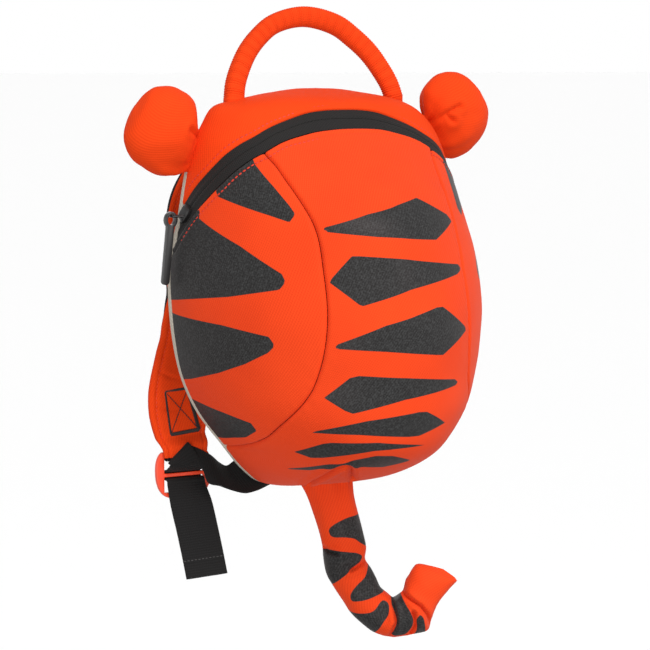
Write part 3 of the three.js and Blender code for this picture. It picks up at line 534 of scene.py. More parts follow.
# %% The cloths
ORANGE, DEEP_ORANGE = (0.83, 0.066, 0.010), (0.60, 0.034, 0.005)
orange_cloth = cloth("orange_twill", ORANGE, DEEP_ORANGE)
striped_cloth = cloth("striped_twill", ORANGE, DEEP_ORANGE, printed=True)
ribbed_cloth = cloth("orange_grosgrain", ORANGE, DEEP_ORANGE, pitch=0.0013, turn=math.pi / 2, bump=0.9)
black_web = cloth("black_webbing", (0.016, 0.0155, 0.0155), (0.006, 0.006, 0.006), pitch=0.0016,
                  turn=math.pi / 2, roughness=0.7, bump=0.8)
zip_cloth = cloth("zip_weave", (0.020, 0.019, 0.0185), (0.009, 0.0085, 0.0085), pitch=0.0014, turn=0.9,
                  roughness=0.66, bump=0.9)
beige_cloth = cloth("back_mesh", (0.58, 0.53, 0.45), (0.40, 0.36, 0.30), pitch=0.002, turn=0.78,
                    roughness=0.85, bump=0.9)
cloths = (orange_cloth, striped_cloth, ribbed_cloth, black_web, zip_cloth, beige_cloth)
print("cloths:", [woven.name for woven in cloths])

# %% [markdown]
# A print could be an image wrapped round the cloth. Here each stripe is a closed line of places on
# the shell, in thousandths of its shares, because that stays sharp and needs no file. The signed
# distance to the line is positive inside it. The four stripes on the left side run out from the
# back seam and are mirrored onto the right. The seven on the front point left and right in turn.

# %% Stripes
SIDE_STRIPES = [
    [(121, 351), (112, 318), (218, 270), (227, 300), (255, 334), (274, 361), (281, 374), (267, 386),
     (233, 377), (181, 365)],
    [(-30, 440), (-20, 405), (24, 384), (74, 372), (74, 385), (177, 424), (256, 463), (262, 474),
     (251, 485), (155, 498), (25, 509), (-30, 512)],
    [(-30, 526), (24, 531), (137, 538), (226, 550), (236, 562), (223, 572), (175, 590), (113, 607),
     (27, 625), (-30, 632)],
    [(-30, 656), (6, 668), (81, 683), (147, 698), (151, 714), (108, 733), (45, 744), (16, 749),
     (-30, 752)],
]
FRONT_STRIPES = [
    [(324, 394), (421, 374), (579, 354), (665, 380), (677, 391), (593, 416), (571, 415), (428, 408),
     (334, 400)],
    [(335, 473), (376, 436), (391, 436), (504, 443), (654, 456), (663, 464), (643, 470), (493, 486),
     (393, 506), (386, 504)],
    [(343, 559), (436, 533), (562, 512), (579, 512), (659, 548), (578, 579), (560, 578), (440, 569),
     (345, 564)],
    [(321, 638), (372, 605), (389, 602), (489, 608), (627, 619), (641, 625), (633, 630), (488, 645),
     (376, 668), (360, 662)],
    [(282, 708), (293, 704), (407, 683), (522, 671), (544, 672), (618, 701), (535, 720), (507, 720),
     (389, 711)],
    [(220, 755), (299, 731), (319, 728), (431, 728), (568, 742), (422, 746), (292, 765), (261, 767)],
    [(182, 810), (346, 774), (430, 758), (479, 761), (557, 779), (480, 794), (429, 791), (350, 783),
     (266, 804)],
]


def inside_line(points, line):
    """Signed distance of flat points to a closed line, positive inside it."""
    line = np.asarray(line, float)
    ends = np.roll(line, -1, axis=0)
    best = np.full(len(points), 1e9)
    crossed = np.zeros(len(points), bool)
    for start, end in zip(line, ends):
        edge, arm = end - start, points - start
        along = np.clip((arm @ edge) / (edge @ edge), 0, 1)
        best = np.minimum(best, np.linalg.norm(arm - along[:, None] * edge, axis=1))
        between = (start[1] > points[:, 1]) != (end[1] > points[:, 1])
        rise = edge[1] if abs(edge[1]) > 1e-9 else 1e-9
        at = start[0] + (points[:, 1] - start[1]) * edge[0] / rise
        crossed ^= between & (points[:, 0] < at)
    return np.where(crossed, best, -best)


def inside_any(points, lines):
    return np.max([inside_line(points, line) for line in lines], axis=0)


def print_on(across, down, stripes):
    """How far inside the nearest stripe each place lies, in millimetres of cloth."""
    cloth_size = np.array([320, 420])
    flat = np.stack([across, down], axis=1) * cloth_size
    return inside_any(flat, [np.array(stripe) / 1000 * cloth_size for stripe in stripes])


print("stripes:", len(SIDE_STRIPES), "on each side,", len(FRONT_STRIPES), "in front")

# %% [markdown]
# A panel of the shell lies between four edges: the zip above, seams beside it, and a seam or a
# point below. A grid's two shares are blended between those edges, as a tailor fits a lining.

# %% Places between four edges
def between(top, bottom, left, right):
    """Places between four edges that meet at their corners, as a function of two shares."""
    def place(a, b):
        zero, one = np.zeros_like(a), np.ones_like(a)
        sides = [
            top(a)[i] * (1 - b) + bottom(a)[i] * b + left(b)[i] * (1 - a) + right(b)[i] * a
            - (top(zero)[i] * (1 - a) + top(one)[i] * a) * (1 - b)
            - (bottom(zero)[i] * (1 - a) + bottom(one)[i] * a) * b
            for i in range(2)
        ]
        return sides[0], sides[1]
    return place


def shell_top(across):
    return zip_line(across, ZIP_HALF_WIDTH)


def outer_seam(share):
    return seam_line(share, -SEAM_GAP)


def inner_seam(share):
    return seam_line(share, SEAM_GAP)


seam_start = float(outer_seam(np.array([0.0]))[0][0])
side_tip = float(outer_seam(np.array([1.0]))[1][0])
side_top_left = float(shell_top(np.array([0.0]))[1][0])
side_shares = between(
    lambda a: shell_top(a * seam_start),
    lambda a: (np.zeros_like(a), np.full_like(a, side_tip)),
    lambda b: (np.zeros_like(b), side_top_left + (side_tip - side_top_left) * b),
    outer_seam,
)
front_left = float(inner_seam(np.array([0.0]))[0][0])
front_tip = float(inner_seam(np.array([1.0]))[1][0])
SEAM_PART = 0.7


def front_edge(b):
    on_seam = inner_seam(np.clip(b / SEAM_PART, 0, 1))
    below = front_tip + (1 - front_tip) * np.clip((b - SEAM_PART) / (1 - SEAM_PART), 0, 1)
    return np.where(b < SEAM_PART, on_seam[0], 0), np.where(b < SEAM_PART, on_seam[1], below)


def right_edge(b):
    across, down = front_edge(b)
    return 1 - across, down


front_shares = between(
    lambda a: shell_top(front_left + (1 - 2 * front_left) * a),
    lambda a: (a, np.ones_like(a)),
    front_edge,
    right_edge,
)
middle = np.array([0.5])
print("middle of the left side panel, mm:", bag(*side_shares(middle, middle)).round(1))

# %% [markdown]
# The foam-backed cloth is never quite smooth. Its edges are rolled in, so the seams show as soft
# valleys, the thread pulls small puckers beside them, and the hem under the zip has a stitched
# groove. Round the tail's root the cloth is drawn into one deeper fold.

# %% Relief of the shell
SHELL_WALL = 2.2
HEM_STITCH = 3.6
TAIL_FOLD = [  # shares across and down, round the top of the tail's root
    (0.307, 0.871), (0.308, 0.846), (0.318, 0.827), (0.335, 0.799), (0.352, 0.786), (0.365, 0.784),
    (0.386, 0.799), (0.41, 0.82), (0.438, 0.837),
]
fold_shares = through(TAIL_FOLD, np.linspace(0, 1, 60))
fold_points = bag(fold_shares[:, 0], fold_shares[:, 1])


def shell_relief(points, edge_radius, seams, top_line):
    """How far the cloth lies under the ideal surface: rolled edges, hem, puckers and waves."""
    to_seam = nearest(points, *seams)
    to_top = nearest(points, top_line)
    drop = rolled(to_seam, edge_radius) + rolled(to_top, 1.2)
    pucker = np.exp(-to_seam / 5) * 0.4 * ripples(points, 5.0, 3.0)
    to_fold = nearest(points, fold_points)
    fold = 2.3 * ridge(to_fold, 1.1) - 1.5 * ridge(to_fold, 2, 3.4)
    hem = 0.45 * ridge(to_top, 0.8, HEM_STITCH) - 0.35 * ridge(to_top, 1.3, 1.6)
    waves = 0.7 * ripples(points, 46.0, 1.0) + 0.25 * ripples(points, 17.0, 2.0)
    return drop + pucker + fold + hem + waves


print("fold round the tail, mm:", round(float(lengths_along(fold_points)[-1])))

# %% [markdown]
# Three panels make the front shell: the two sides and the front. One dome with drawn lines would be
# quicker, but only separate panels have real seams between them. The right side is the left one
# mirrored, with its print a little nearer to the back. The front panel ends below in a point.

# %% Front shell panels
PRINT_SHIFT_RIGHT = 0.022


def shell_piece(name, columns, rows, shares, edge_radius, seams, stripes, mirrored=False):
    kept = {}

    def place(a, b):
        across, down = shares(a, b)
        points = bag(across, down)
        relief = shell_relief(points, edge_radius, seams, zip_low_points)
        moved = points - bag_normal(across, down) * relief[:, None]
        moved[:, 1] = np.minimum(moved[:, 1], BACK_SEAM_Y)
        shift = PRINT_SHIFT_RIGHT if mirrored else 0
        kept["print"] = print_on(across + shift, down, stripes)
        return moved * ((-1, 1, 1) if mirrored else 1)

    piece = grid_piece(f"{name}_cloth", columns, rows, place)
    point_values(piece, "print_inside", kept["print"])
    weld(piece)
    modify(piece, "SOLIDIFY", thickness=SHELL_WALL * MM, offset=-1)
    finish_piece(piece, striped_cloth, "striped_cloth", name, padding=0.5)


for name, mirrored in (("side_panel_left", False), ("side_panel_right", True)):
    shell_piece(name, 90, 150, side_shares, 2.4, [seam_points], SIDE_STRIPES, mirrored)
both_seams = [seam_points, right_seam_points]
shell_piece("front_panel", 150, 220, front_shares, 2.8, both_seams, FRONT_STRIPES)

# %% [markdown]
# The hood is one plain orange panel above the zip, closed on the back seam. It has a stitched
# groove along the zip, and bulges a little at its left edge, between the handle and the ear.

# %% Hood
HOOD_STITCH = 3.4


def hood_place(a, b):
    across, down = a, zip_line(a, -ZIP_HALF_WIDTH)[1] * b
    points = bag(across, down)
    to_zip = nearest(points, zip_top_points)
    relief = rolled(to_zip, 1.4) + 0.22 * ridge(to_zip, 0.7, HOOD_STITCH)
    relief += 0.5 * ripples(points, 40.0, 4.0) + 0.2 * ripples(points, 14.0, 5.0)
    relief -= 3.0 * ridge(down, 0.03, 0.185) * ridge(across, 0.09)
    moved = points - bag_normal(across, down) * relief[:, None]
    moved[:, 1] = np.minimum(moved[:, 1], BACK_SEAM_Y)
    return moved


hood = grid_piece("hood_cloth", 220, 70, hood_place)
weld(hood)
modify(hood, "SOLIDIFY", thickness=SHELL_WALL * MM, offset=-1)
finish_piece(hood, orange_cloth, "orange_cloth", "hood", padding=0.5)

# %% [markdown]
# The two zip tapes lie a little deeper, between the hems. They meet over the teeth and hide them, so
# no teeth are made, and each tape has a low ridge beside the fine line where they meet.

# %% Zip tapes
def tape_place(start, end):
    def place(a, b):
        distance = start + (end - start) * b
        across, down = zip_line(a, distance)
        middle = np.abs(distance)
        relief = 0.9 + 0.1 * ridge(middle, 0.5) - 0.35 * ridge(middle, 1.1, 1.7)
        points = bag(across, down) - bag_normal(across, down) * relief[:, None]
        points[:, 1] = np.minimum(points[:, 1], BACK_SEAM_Y)
        return points
    return place


for name, start, end in (
    ("zip_tape_upper", 0.3 - ZIP_HALF_WIDTH, -0.1),
    ("zip_tape_lower", 0.1, ZIP_HALF_WIDTH - 0.3),
):
    tape = grid_piece(f"{name}_woven", 220, 12, tape_place(start, end))
    modify(tape, "SOLIDIFY", thickness=1.0 * MM, offset=-1)
    finish_piece(tape, zip_cloth, "zip_tape", name)

# %% [markdown]
# The back is a padded panel of pale mesh cloth. Its rim shows as a pale band behind the left side.
# The grid's rows run out from the middle of its front, over the rim and back to the middle behind,
# so the rim is round without a bevel. A sewn line down the middle and two across it divide the
# padding into cushions. Pieces that are sewn together keep a small gap, as the solids do.

# %% Back pad
GAP = 0.3
PAD_THICKNESS = 6.0
PAD_FRONT_Y = BACK_SEAM_Y + GAP
PAD_BACK_Y = PAD_FRONT_Y + PAD_THICKNESS
PAD_RIM = [  # share of the way from the middle to the outline, share of the thickness
    (0, 0), (0.5, 0), (0.95, 0), (0.99, 0.06), (1, 0.3), (1, 0.65), (0.985, 0.9),
    (0.95, 1), (0.7, 1), (0.35, 1), (0, 1),
]
QUILT_LINES = [  # x, z of both ends
    ((0, -58), (0, -250)), ((-70, -128), (70, -128)), ((-84, -195), (84, -195)),
]


def pad_place(a, b):
    turn = np.where(a < 0.5, 2 * a, 2 - 2 * a)
    edge = bag(np.zeros_like(a), turn)
    edge[:, 0] = np.where(a < 0.5, edge[:, 0], -edge[:, 0])
    rim = row_at(PAD_RIM, b)
    middle = np.array([0, 0, BAG_TOP - BAG_HEIGHT / 2])
    inset = np.interp(turn, [0.0, 0.24, 0.3, 0.7, 1.0], [0.966, 0.966, 0.996, 0.999, 0.999])
    flat = (edge - middle) * (1, 0, 1) * (np.clip(rim[:, 0], 0, 1) * inset)[:, None] + middle
    flat[:, 1] = PAD_FRONT_Y + np.clip(rim[:, 1], 0, 1) * PAD_THICKNESS
    sewn = nearest(flat[:, ::2], *QUILT_LINES)
    hollow = 1.3 * ridge(sewn, 3.5) + 0.8 * ridge(sewn, 1.0)
    behind = np.clip((b - 0.6) / 0.1, 0, 1)
    flat[:, 1] += behind * (0.35 * ripples(flat, 24.0, 8.0) - hollow)
    return flat


pad = grid_piece("back_pad", 240, 150, pad_place)
weld(pad, reach=0.05)
finish_piece(pad, beige_cloth, "grey_padding", "back_panel", padding=0.6)

# %% [markdown]
# Handle, ears and webbing are all caught in the back seam, so a point of that seam and the
# direction that looks away from it give each its place. A tube needs a path, too: its middle line
# and the direction in which that line runs.

# %% Along the back seam
def back_seam_point(down):
    return bag(np.zeros(1), np.full(1, down))[0]


def seam_normal(down):
    """Outward direction of the left back seam, in its own plane."""
    run = back_seam_point(down + 0.002) - back_seam_point(down - 0.002)
    return unit(np.array([run[2], 0, -run[0]]))


def points_along(path, share):
    """Points of a smooth path, and the path's direction there."""
    ahead = through(path, np.minimum(share + 0.002, 1))
    behind = through(path, np.maximum(share - 0.002, 0))
    return through(path, share), unit(ahead - behind)


print("away from the back seam, halfway down:", seam_normal(0.5).round(2))

# %% [markdown]
# The carry handle is ribbed tape folded round a cord. A curve with a round bevel would be a smooth
# tube, so this one comes from the grid, with its two long sides brought together and welded. Its
# ribs are real, one and a half millimetres apart, and a tuck runs along it where the tape is sewn.

# %% Carry handle
HANDLE_ROOT = 0.146
HANDLE_TOP_Z = 6.3
HANDLE_HALF_WIDTH = 6.1
HANDLE_HALF_DEPTH = 4.4
HANDLE_RIB = 1.5
HANDLE_SUNK = 1.6
HANDLE_ROWS = [  # out, up, front
    (1, 0, 0), (0.96, 0.177, 0.17), (0.877, 0.366, 0.37), (0.757, 0.567, 0.58), (0.593, 0.748, 0.79),
    (0.388, 0.905, 0.92), (0, 1, 1),
]
handle_normal = seam_normal(HANDLE_ROOT)
handle_seat = back_seam_point(HANDLE_ROOT) + GAP * handle_normal
handle_rise = HANDLE_TOP_Z - handle_seat[2]
handle_path = [
    (handle_seat[0] * out, PAD_FRONT_Y * (1 - forward), handle_seat[2] + up * handle_rise)
    for out, up, forward in HANDLE_ROWS
]
handle_path += [(-x, y, z) for x, y, z in handle_path[-2::-1]]


def handle_place(a, b):
    middle, tangent = points_along(handle_path, b)
    backward = unit(np.array([0, 1.0, 0]) - tangent * tangent[:, 1:2])
    outward = np.cross(tangent, backward)
    fine = np.linspace(0, 1, 600)
    along = np.interp(b, fine, lengths_along(through(handle_path, fine)))
    angle = 2 * np.pi * a
    c, s = np.cos(angle), np.sin(angle)
    fold = 1 + 0.05 * np.sin(2 * angle + along / 26) + 0.02 * np.sin(3 * angle - along / 15)
    ribs = 0.14 * np.cos(2 * np.pi * along / HANDLE_RIB)
    tuck = -0.7 * ridge(s, 0.12, 0.15) * (c < 0)
    half_depth = HANDLE_HALF_DEPTH * fold + ribs
    half_width = HANDLE_HALF_WIDTH * fold + ribs + tuck
    points = middle + backward * (signed_power(c, 0.85) * half_depth)[:, None]
    points = points + outward * (signed_power(s, 0.85) * half_width)[:, None]
    slope = handle_normal[0] / handle_normal[2]
    for end, side in ((b < 1e-6, 1), (b > 1 - 1e-6, -1)):
        aside = points[end, 0] * side - handle_seat[0]
        points[end, 2] = handle_seat[2] - HANDLE_SUNK - slope * aside
    return points


handle = grid_piece("handle_tape", 26, 900, handle_place)
weld(handle, holes=True)
finish_piece(handle, ribbed_cloth, "orange_cloth", "carry_handle")

# %% [markdown]
# An ear is two cloth discs sewn along their rim and stuffed. A flattened ball has no root, so the
# grid's rows run from the root to the rim instead. The ear is narrow and gathered where it is
# caught in the back seam, folds run out from there, and its rim shows the sewn edge.

# %% Ears
EAR_LENGTH = 46
EAR_HALF_HEIGHT = 26
EAR_HALF_THICKNESS = 15
EAR_ROWS = [  # shares of the length, the height, the thickness and the raise
    (-0.03, 0.5, 0.2, 0), (0.04, 0.58, 0.4, 0.3), (0.13, 0.77, 0.68, 0.6), (0.28, 0.94, 0.92, 0.9),
    (0.46, 0.985, 1, 1), (0.64, 0.95, 0.95, 1), (0.79, 0.8, 0.78, 1), (0.9, 0.54, 0.5, 1),
    (0.955, 0.0, 0.0, 1),
]
EAR_CREASES = {  # x, z
    "ear_left": [[(-81, -64), (-85, -62), (-89, -60)]],
    "ear_right": [[(77, -58.6), (83.1, -53.7), (88.9, -50.1), (94, -47.7)], [(85.3, -52), (89.5, -56.5)]],
}


def ear_place(name, sign, root_down, ear_raise):
    outward = seam_normal(root_down)
    root = back_seam_point(root_down) + GAP * outward
    root[1] = PAD_FRONT_Y

    def place(a, b):
        rows = row_at(EAR_ROWS, b)
        turned = np.radians(ear_raise) * np.clip(rows[:, 3], 0, 1)
        lift, level = np.sin(turned), np.cos(turned)
        axis = np.stack([
            outward[0] * level + outward[2] * lift,
            0 * level,
            outward[2] * level - outward[0] * lift,
        ], axis=1)
        tall = np.cross([0, 1.0, 0], axis)
        angle = 2 * np.pi * a
        c, s = np.cos(angle), np.sin(angle)
        near_root = np.exp(-rows[:, 0] / 0.2) * np.clip(rows[:, 0] / 0.05, 0, 1)
        gathers = 0.09 * np.cos(7 * angle + 1.0 + sign) + 0.04 * np.cos(12 * angle)
        folds = 1 + near_root * gathers
        rim = 0.5 * ridge(s, 0.07) * np.clip(rows[:, 1], 0, 1)
        half_height = c * rows[:, 1] * EAR_HALF_HEIGHT * folds
        points = root + axis * (rows[:, :1] * EAR_LENGTH) + tall * half_height[:, None]
        points[:, 1] += signed_power(s, 1.12) * rows[:, 2] * EAR_HALF_THICKNESS * folds
        away = unit(points - (root + 24 * axis))
        lumps = 0.7 * ripples(points, 17.0, 11.0 + sign) + 0.3 * ripples(points, 7.0, 12.0)
        points = points + away * (lumps * np.clip(rows[:, 0] / 0.3, 0, 1) - rim)[:, None]
        points[:, 0] *= -sign
        to_crease = nearest(points[:, ::2], *EAR_CREASES[name])
        pull = 1.8 * ridge(to_crease, 1.3) - 0.7 * ridge(to_crease, 2, 4)
        points[:, 1] += pull * np.clip(-s, 0, 1) ** 0.5
        return points
    return place


for name, sign, root_down, ear_raise in (("ear_left", -1, 0.277, 19), ("ear_right", 1, 0.258, 22)):
    ear = grid_piece(f"{name}_stuffed", 120, 90, ear_place(name, sign, root_down, ear_raise))
    weld(ear, holes=True)
    finish_piece(ear, orange_cloth, "orange_cloth", name, padding=0.9)

# %% [markdown]
# The tail is a stuffed tube that hooks to the right. A tube round a middle line would lose its
# pinches, so each row of the table gives its left and its right edge and half its thickness. Its
# end is sewn flat. All these tables are in millimetres from its root, to the right and up.

# %% The tail's tables
TAIL_ROWS = [  # left out, left up, right out, right up, half thickness
    (-14.7, 3.0, 17.0, 4.6, 9.8), (-10.4, -5.0, 17.9, -3.7, 9.8), (-6.8, -15.1, 20.4, -14.5, 10.4),
    (-3.1, -27.5, 23.3, -26.5, 10.8), (-0.9, -36.3, 25.6, -36.7, 11), (-0.2, -43.9, 25.2, -44.3, 10.6),
    (1.3, -53.1, 28.5, -50.0, 11), (5.0, -59.6, 31.8, -56.0, 11.4), (11.6, -69.8, 34.8, -62.0, 11.2),
    (16.4, -77.6, 38.8, -65.6, 10.8), (23.6, -84.2, 41.2, -67.4, 11), (31.5, -89.6, 43.0, -67.7, 11),
    (42.3, -92.3, 44.8, -66.8, 11.4), (54.1, -90.2, 46.6, -65.0, 11.6), (62.9, -87.8, 48.2, -62.5, 11.6),
    (65.4, -81.5, 49.6, -57.4, 11.4), (69.5, -71.3, 51.5, -54.2, 10.4), (76.1, -62.5, 53.6, -50.0, 8.4),
    (80.5, -58.1, 56.9, -47.3, 5.6), (80.8, -57.5, 64.2, -48.3, 3.0), (79.6, -55.7, 72.0, -50.3, 1.0),
]
TAIL_STRIPES = [
    [(30, -13), (22, -16), (15, -17), (8, -20), (4, -23), (3, -25), (4, -28), (6, -29), (12, -29),
     (18, -30), (22, -33), (30, -39)],
    [(-8, -38), (6, -37), (15, -38), (20, -39), (23, -41), (22, -44), (17, -48), (12, -53),
     (-4, -66)],
    [(32, -40), (28, -44), (25, -53), (20, -58), (17, -62), (16, -65), (17, -68), (21, -68), (26, -67),
     (32, -65), (42, -62)],
    [(4, -74), (12, -75), (21, -76), (28, -75), (31, -73), (34, -69), (36, -68), (39, -70), (39, -76),
     (36, -81), (33, -86), (24, -97)],
    [(40, -60), (45, -63), (50, -71), (52, -74), (54, -80), (53, -84), (49, -89), (44, -90), (41, -89),
     (42, -87), (44, -81), (43, -76), (41, -71)],
    [(49, -99), (56, -86), (56, -79), (57, -77), (58, -76), (60, -78), (61, -82), (62, -96)],
]
TAIL_CREASES = [
    [(47.5, -64), (53.3, -67.6), (58.5, -71.2), (62.2, -76.3), (64, -82.1), (65, -88)],
    [(39.8, -64), (42, -71.2), (43.1, -76.3), (43.9, -81.4), (41.6, -86.5), (39.5, -91)],
    [(54.1, -75), (55.2, -82.9), (52.7, -88)],
    [(27, -43.6), (21.1, -46.4), (16, -49)],
    [(-2, -35), (3, -38), (8, -39)],
]
print("stripes on the tail:", len(TAIL_STRIPES), "creases:", len(TAIL_CREASES))

# %% [markdown]
# The tube goes through those edges. Creases are pressed in along their short lines, with a swelling
# on both sides of each, and the stripes are printed as on the shell.

# %% Tail
tail_base = np.array([0, -24, -276.3])
tail_right = np.array([0.866, -0.5, 0])
tail_front = np.array([-0.5, -0.866, 0])
tail_print = {}
round_stripes = [through(stripe, np.linspace(0, 1, 12 * len(stripe))) for stripe in TAIL_STRIPES]


def tail_place(a, b):
    rows = row_at(TAIL_ROWS, b)
    left, right = rows[:, :2], rows[:, 2:4]
    angle = 2 * np.pi * a
    c, s = np.cos(angle), np.sin(angle)
    gathers = 1 + 0.06 * np.exp(-b / 0.035) * np.cos(9 * angle) + 0.012 * np.cos(5 * angle + b * 40)
    flat = (left + right) / 2 + (right - left) / 2 * (c * np.clip(gathers, 0.9, 1.02))[:, None]
    front = -s * rows[:, 4] * gathers
    to_creases = [line_distance(flat, line) for line in TAIL_CREASES]
    swell = sum(ridge(distance, 1.8, 2.8) - 2.6 * ridge(distance, 1.0) for distance in to_creases)
    front = front + np.sign(front) * swell * np.clip(np.abs(front) / 4, 0, 1)
    tail_print["inside"] = inside_any(flat, round_stripes)
    points = tail_base + np.outer(flat[:, 0], tail_right) + np.outer(front, tail_front)
    points[:, 2] += flat[:, 1]
    lumps = 0.5 * ripples(points, 12.0, 21.0) + 0.2 * ripples(points, 5.0, 22.0)
    return points + np.outer(lumps * np.sign(front) * np.clip(np.abs(front) / 4, 0, 1), tail_front)


tail = grid_piece("tail_stuffed", 120, 300, tail_place)
point_values(tail, "print_inside", tail_print["inside"])
weld(tail, holes=True)
finish_piece(tail, striped_cloth, "striped_cloth", "tail", padding=0.9)

# %% [markdown]
# A shoulder strap bows out behind the back and comes down beside it. Everything is worked out for
# the left side and mirrored onto the right, where the strap hangs a little higher.

# %% The straps' path
STRAP_ROWS = [  # out, back, down, width
    (0.443, 0, 0, 0.92), (0.495, 0.04, 0.07, 1), (0.7, 0.285, 0.152, 1), (0.86, 0.63, 0.253, 1),
    (0.86, 0.86, 0.385, 1), (0.84, 0.94, 0.5, 1), (0.853, 0.977, 0.587, 1), (0.885, 1, 0.663, 1),
    (0.9375, 0.94, 0.74, 1.02), (1, 0.86, 0.825, 1.05), (1.01, 0.785, 0.92, 1), (1, 0.708, 1, 0.76),
]
STRAP_HALF = 18.5
STRAP_SPREAD = 76.8
STRAP_TOP_Y = PAD_BACK_Y + GAP + 3
STRAP_TOP_Z = -54
STRAP_LENGTH_DOWN = 197.5
STRAP_BOW = 26
SIDES = [  # name, sign, how much higher the strap hangs
    ("left", -1, 0.0),
    ("right", 1, 14.0),
]


def strap_path(strap_raise):
    length = STRAP_LENGTH_DOWN - strap_raise
    return [
        (-STRAP_SPREAD * out, STRAP_TOP_Y + back * STRAP_BOW, STRAP_TOP_Z - down * length)
        for out, back, down, _ in STRAP_ROWS
    ]


def strap_frame(share, strap_raise):
    middle, tangent = points_along(strap_path(strap_raise), share)
    across = unit(np.cross(tangent, [0, 1.0, 0]))
    back = np.cross(across, tangent)
    half = row_at([[row[3]] for row in STRAP_ROWS], share)[:, 0] * STRAP_HALF
    return middle, across, back, half


def to_side(points, sign):
    return points * (-sign, 1, 1)


strap_middle = strap_frame(np.linspace(0, 1, 200), 0.0)[0]
print("left strap's length, mm:", round(float(lengths_along(strap_middle)[-1])))

# %% [markdown]
# The strap is a flat padded band. Its far side is lined in black, which shows as a dark line along
# its outer edge. Two layers could be made and sewn together. One piece with a second colour on its
# far side looks the same and can't come apart. A shallow channel runs beside each sewn edge, and
# the thin tip comes forward and hangs over the top of the lock.

# %% Shoulder straps
STRAP_HALF_THICKNESS = 2.9
TIP_START = 0.955
TIP_FORWARD = 5.6
TIP_DOWN = 4.5
LINING = (0.013, 0.017, 0.018)
STRAP_CREASES = {  # x, z on the left strap
    "left": [[(-90, -205), (-78, -211)], [(-92, -226), (-80, -230)]],
    "right": [[(-84, -150), (-70, -156)], [(-86, -196), (-72, -204)]],
}


def strap_place(side, sign, strap_raise, lining):
    """Places of a strap's points. It also adds to lining how far each lies on the far side."""
    def place(a, b):
        middle, across, back, half = strap_frame(b, strap_raise)
        angle = 2 * np.pi * a
        c, s = np.cos(angle), np.sin(angle)
        wide = signed_power(c, 0.42)
        tip = np.clip((b - TIP_START) / (1 - TIP_START), 0, 1) ** 2
        thick = signed_power(s, 0.5) * STRAP_HALF_THICKNESS * (1 - 0.7 * tip)
        channel = 0.8 * ridge(np.abs(wide), 0.045, 0.8) * np.sign(s)
        half = half * (1 + 0.03 * ripples(middle, 11.0, 35.0))
        points = middle + across * (wide * half)[:, None] + back * (thick - channel)[:, None]
        lumps = 0.7 * ripples(points, 20.0, 31.0 + sign) + 0.4 * ripples(points, 8.0, 32.0)
        puckers = 0.3 * ridge(np.abs(wide), 0.08, 0.9) * ripples(points, 4.0, 33.0)
        to_crease = nearest(points[:, ::2], *STRAP_CREASES[side])
        crease = 0.9 * ridge(to_crease, 1.2) * np.clip(-s, 0, 1)
        shown = ridge(middle[:, 2], 16, -103) + ridge(middle[:, 2], 10, -161) - 0.25
        far = thick / STRAP_HALF_THICKNESS - 0.1
        lining.append(far + shown * np.clip(-wide, 0, 1) ** 8 - 0.9 * np.clip(wide, 0, 1))
        points = points + back * ((lumps + puckers) * np.abs(s) + crease)[:, None]
        points[b > 1 - 1e-6, 2] = strap_path(strap_raise)[-1][2]
        forward = np.clip((b - TIP_START) / 0.03, 0, 1)
        points[:, 1] -= TIP_FORWARD * forward ** 2 * (3 - 2 * forward)
        points[:, 2] -= TIP_DOWN * tip
        return to_side(points, sign)
    return place


def lined_cloth():
    finish = orange_cloth.copy()
    finish.name = "strap_twill"
    tree = finish.node_tree
    shader = tree.nodes["Principled BSDF"]
    orange = shader.inputs["Base Color"].links[0].from_socket
    far = node(tree, "ShaderNodeAttribute", attribute_name="far_side").outputs["Fac"]
    share = maths(tree, "MULTIPLY", far, 12.0, clamp=True)
    tree.links.new(mixed(tree, share, orange, (*LINING, 1)), shader.inputs["Base Color"])
    return finish


strap_cloth = lined_cloth()
for side, sign, strap_raise in SIDES:
    lining = []
    strap = grid_piece(f"strap_{side}_padded", 72, 260, strap_place(side, sign, strap_raise, lining))
    point_values(strap, "far_side", lining[-1])
    weld(strap, holes=True)
    finish_piece(strap, strap_cloth, "orange_cloth", f"shoulder_strap_{side}", padding=0.7)

# %% [markdown]
# Webbing is a flat woven ribbon. One curve down its middle wouldn't say how the ribbon turns, so
# both of its edges are curves. It leaves the bag's lower corner, waves out to the lock, folds down
# over it, passes its slots and hangs free. The right one lies flatter and has a short end, so that
# it stays hidden behind the bag.

# %% The webbing's route
WEB_WIDTH = 25.0
WEB_THICKNESS = 1.5
WEB_ROOT = [  # upper edge, lower edge, in widths from the sewn corner
    ((0, 0, 0.86), (0.22, 0, -0.12)), ((-0.4, 0.08, 0.6), (-0.28, 0, -0.36)),
]
WEB_APPROACH = [  # upper edge, lower edge, in widths from the lock
    ((1.22, -0.35, 0.28), (1.46, -1.02, -0.38)), ((1.03, -0.25, 0.14), (1.17, -1, -0.42)),
    ((0.87, -0.2, 0.22), (0.83, -0.94, -0.33)), ((0.63, -0.2, 0.43), (0.58, -0.8, -0.23)),
    ((0.34, -0.2, 0.6), (0.39, -0.55, -0.18)), ((0.16, -0.18, 0.7), (0.3, -0.34, 0.16)),
    ((0.06, -0.18, 0.75), (-0.46, -0.18, 0.28)), ((0.03, -0.22, 0.785), (-0.5, -0.22, 0.315)),
    ((0.05, -0.27, 0.76), (-0.48, -0.26, 0.295)), ((0.14, -0.32, 0.59), (-0.5, -0.26, 0.24)),
    ((0.3, -0.28, 0.37), (-0.5, -0.21, 0.2)),
]
ROUND_BAR = [  # back, up
    (-1.2, 1.45), (-0.5, 1.03), (0.25, 0.97), (0.85, 0.62), (1.04, 0), (0.85, -0.62), (0.2, -0.97),
    (-0.6, -1), (-1.3, -1.25), (-1.5, -2.1),
]
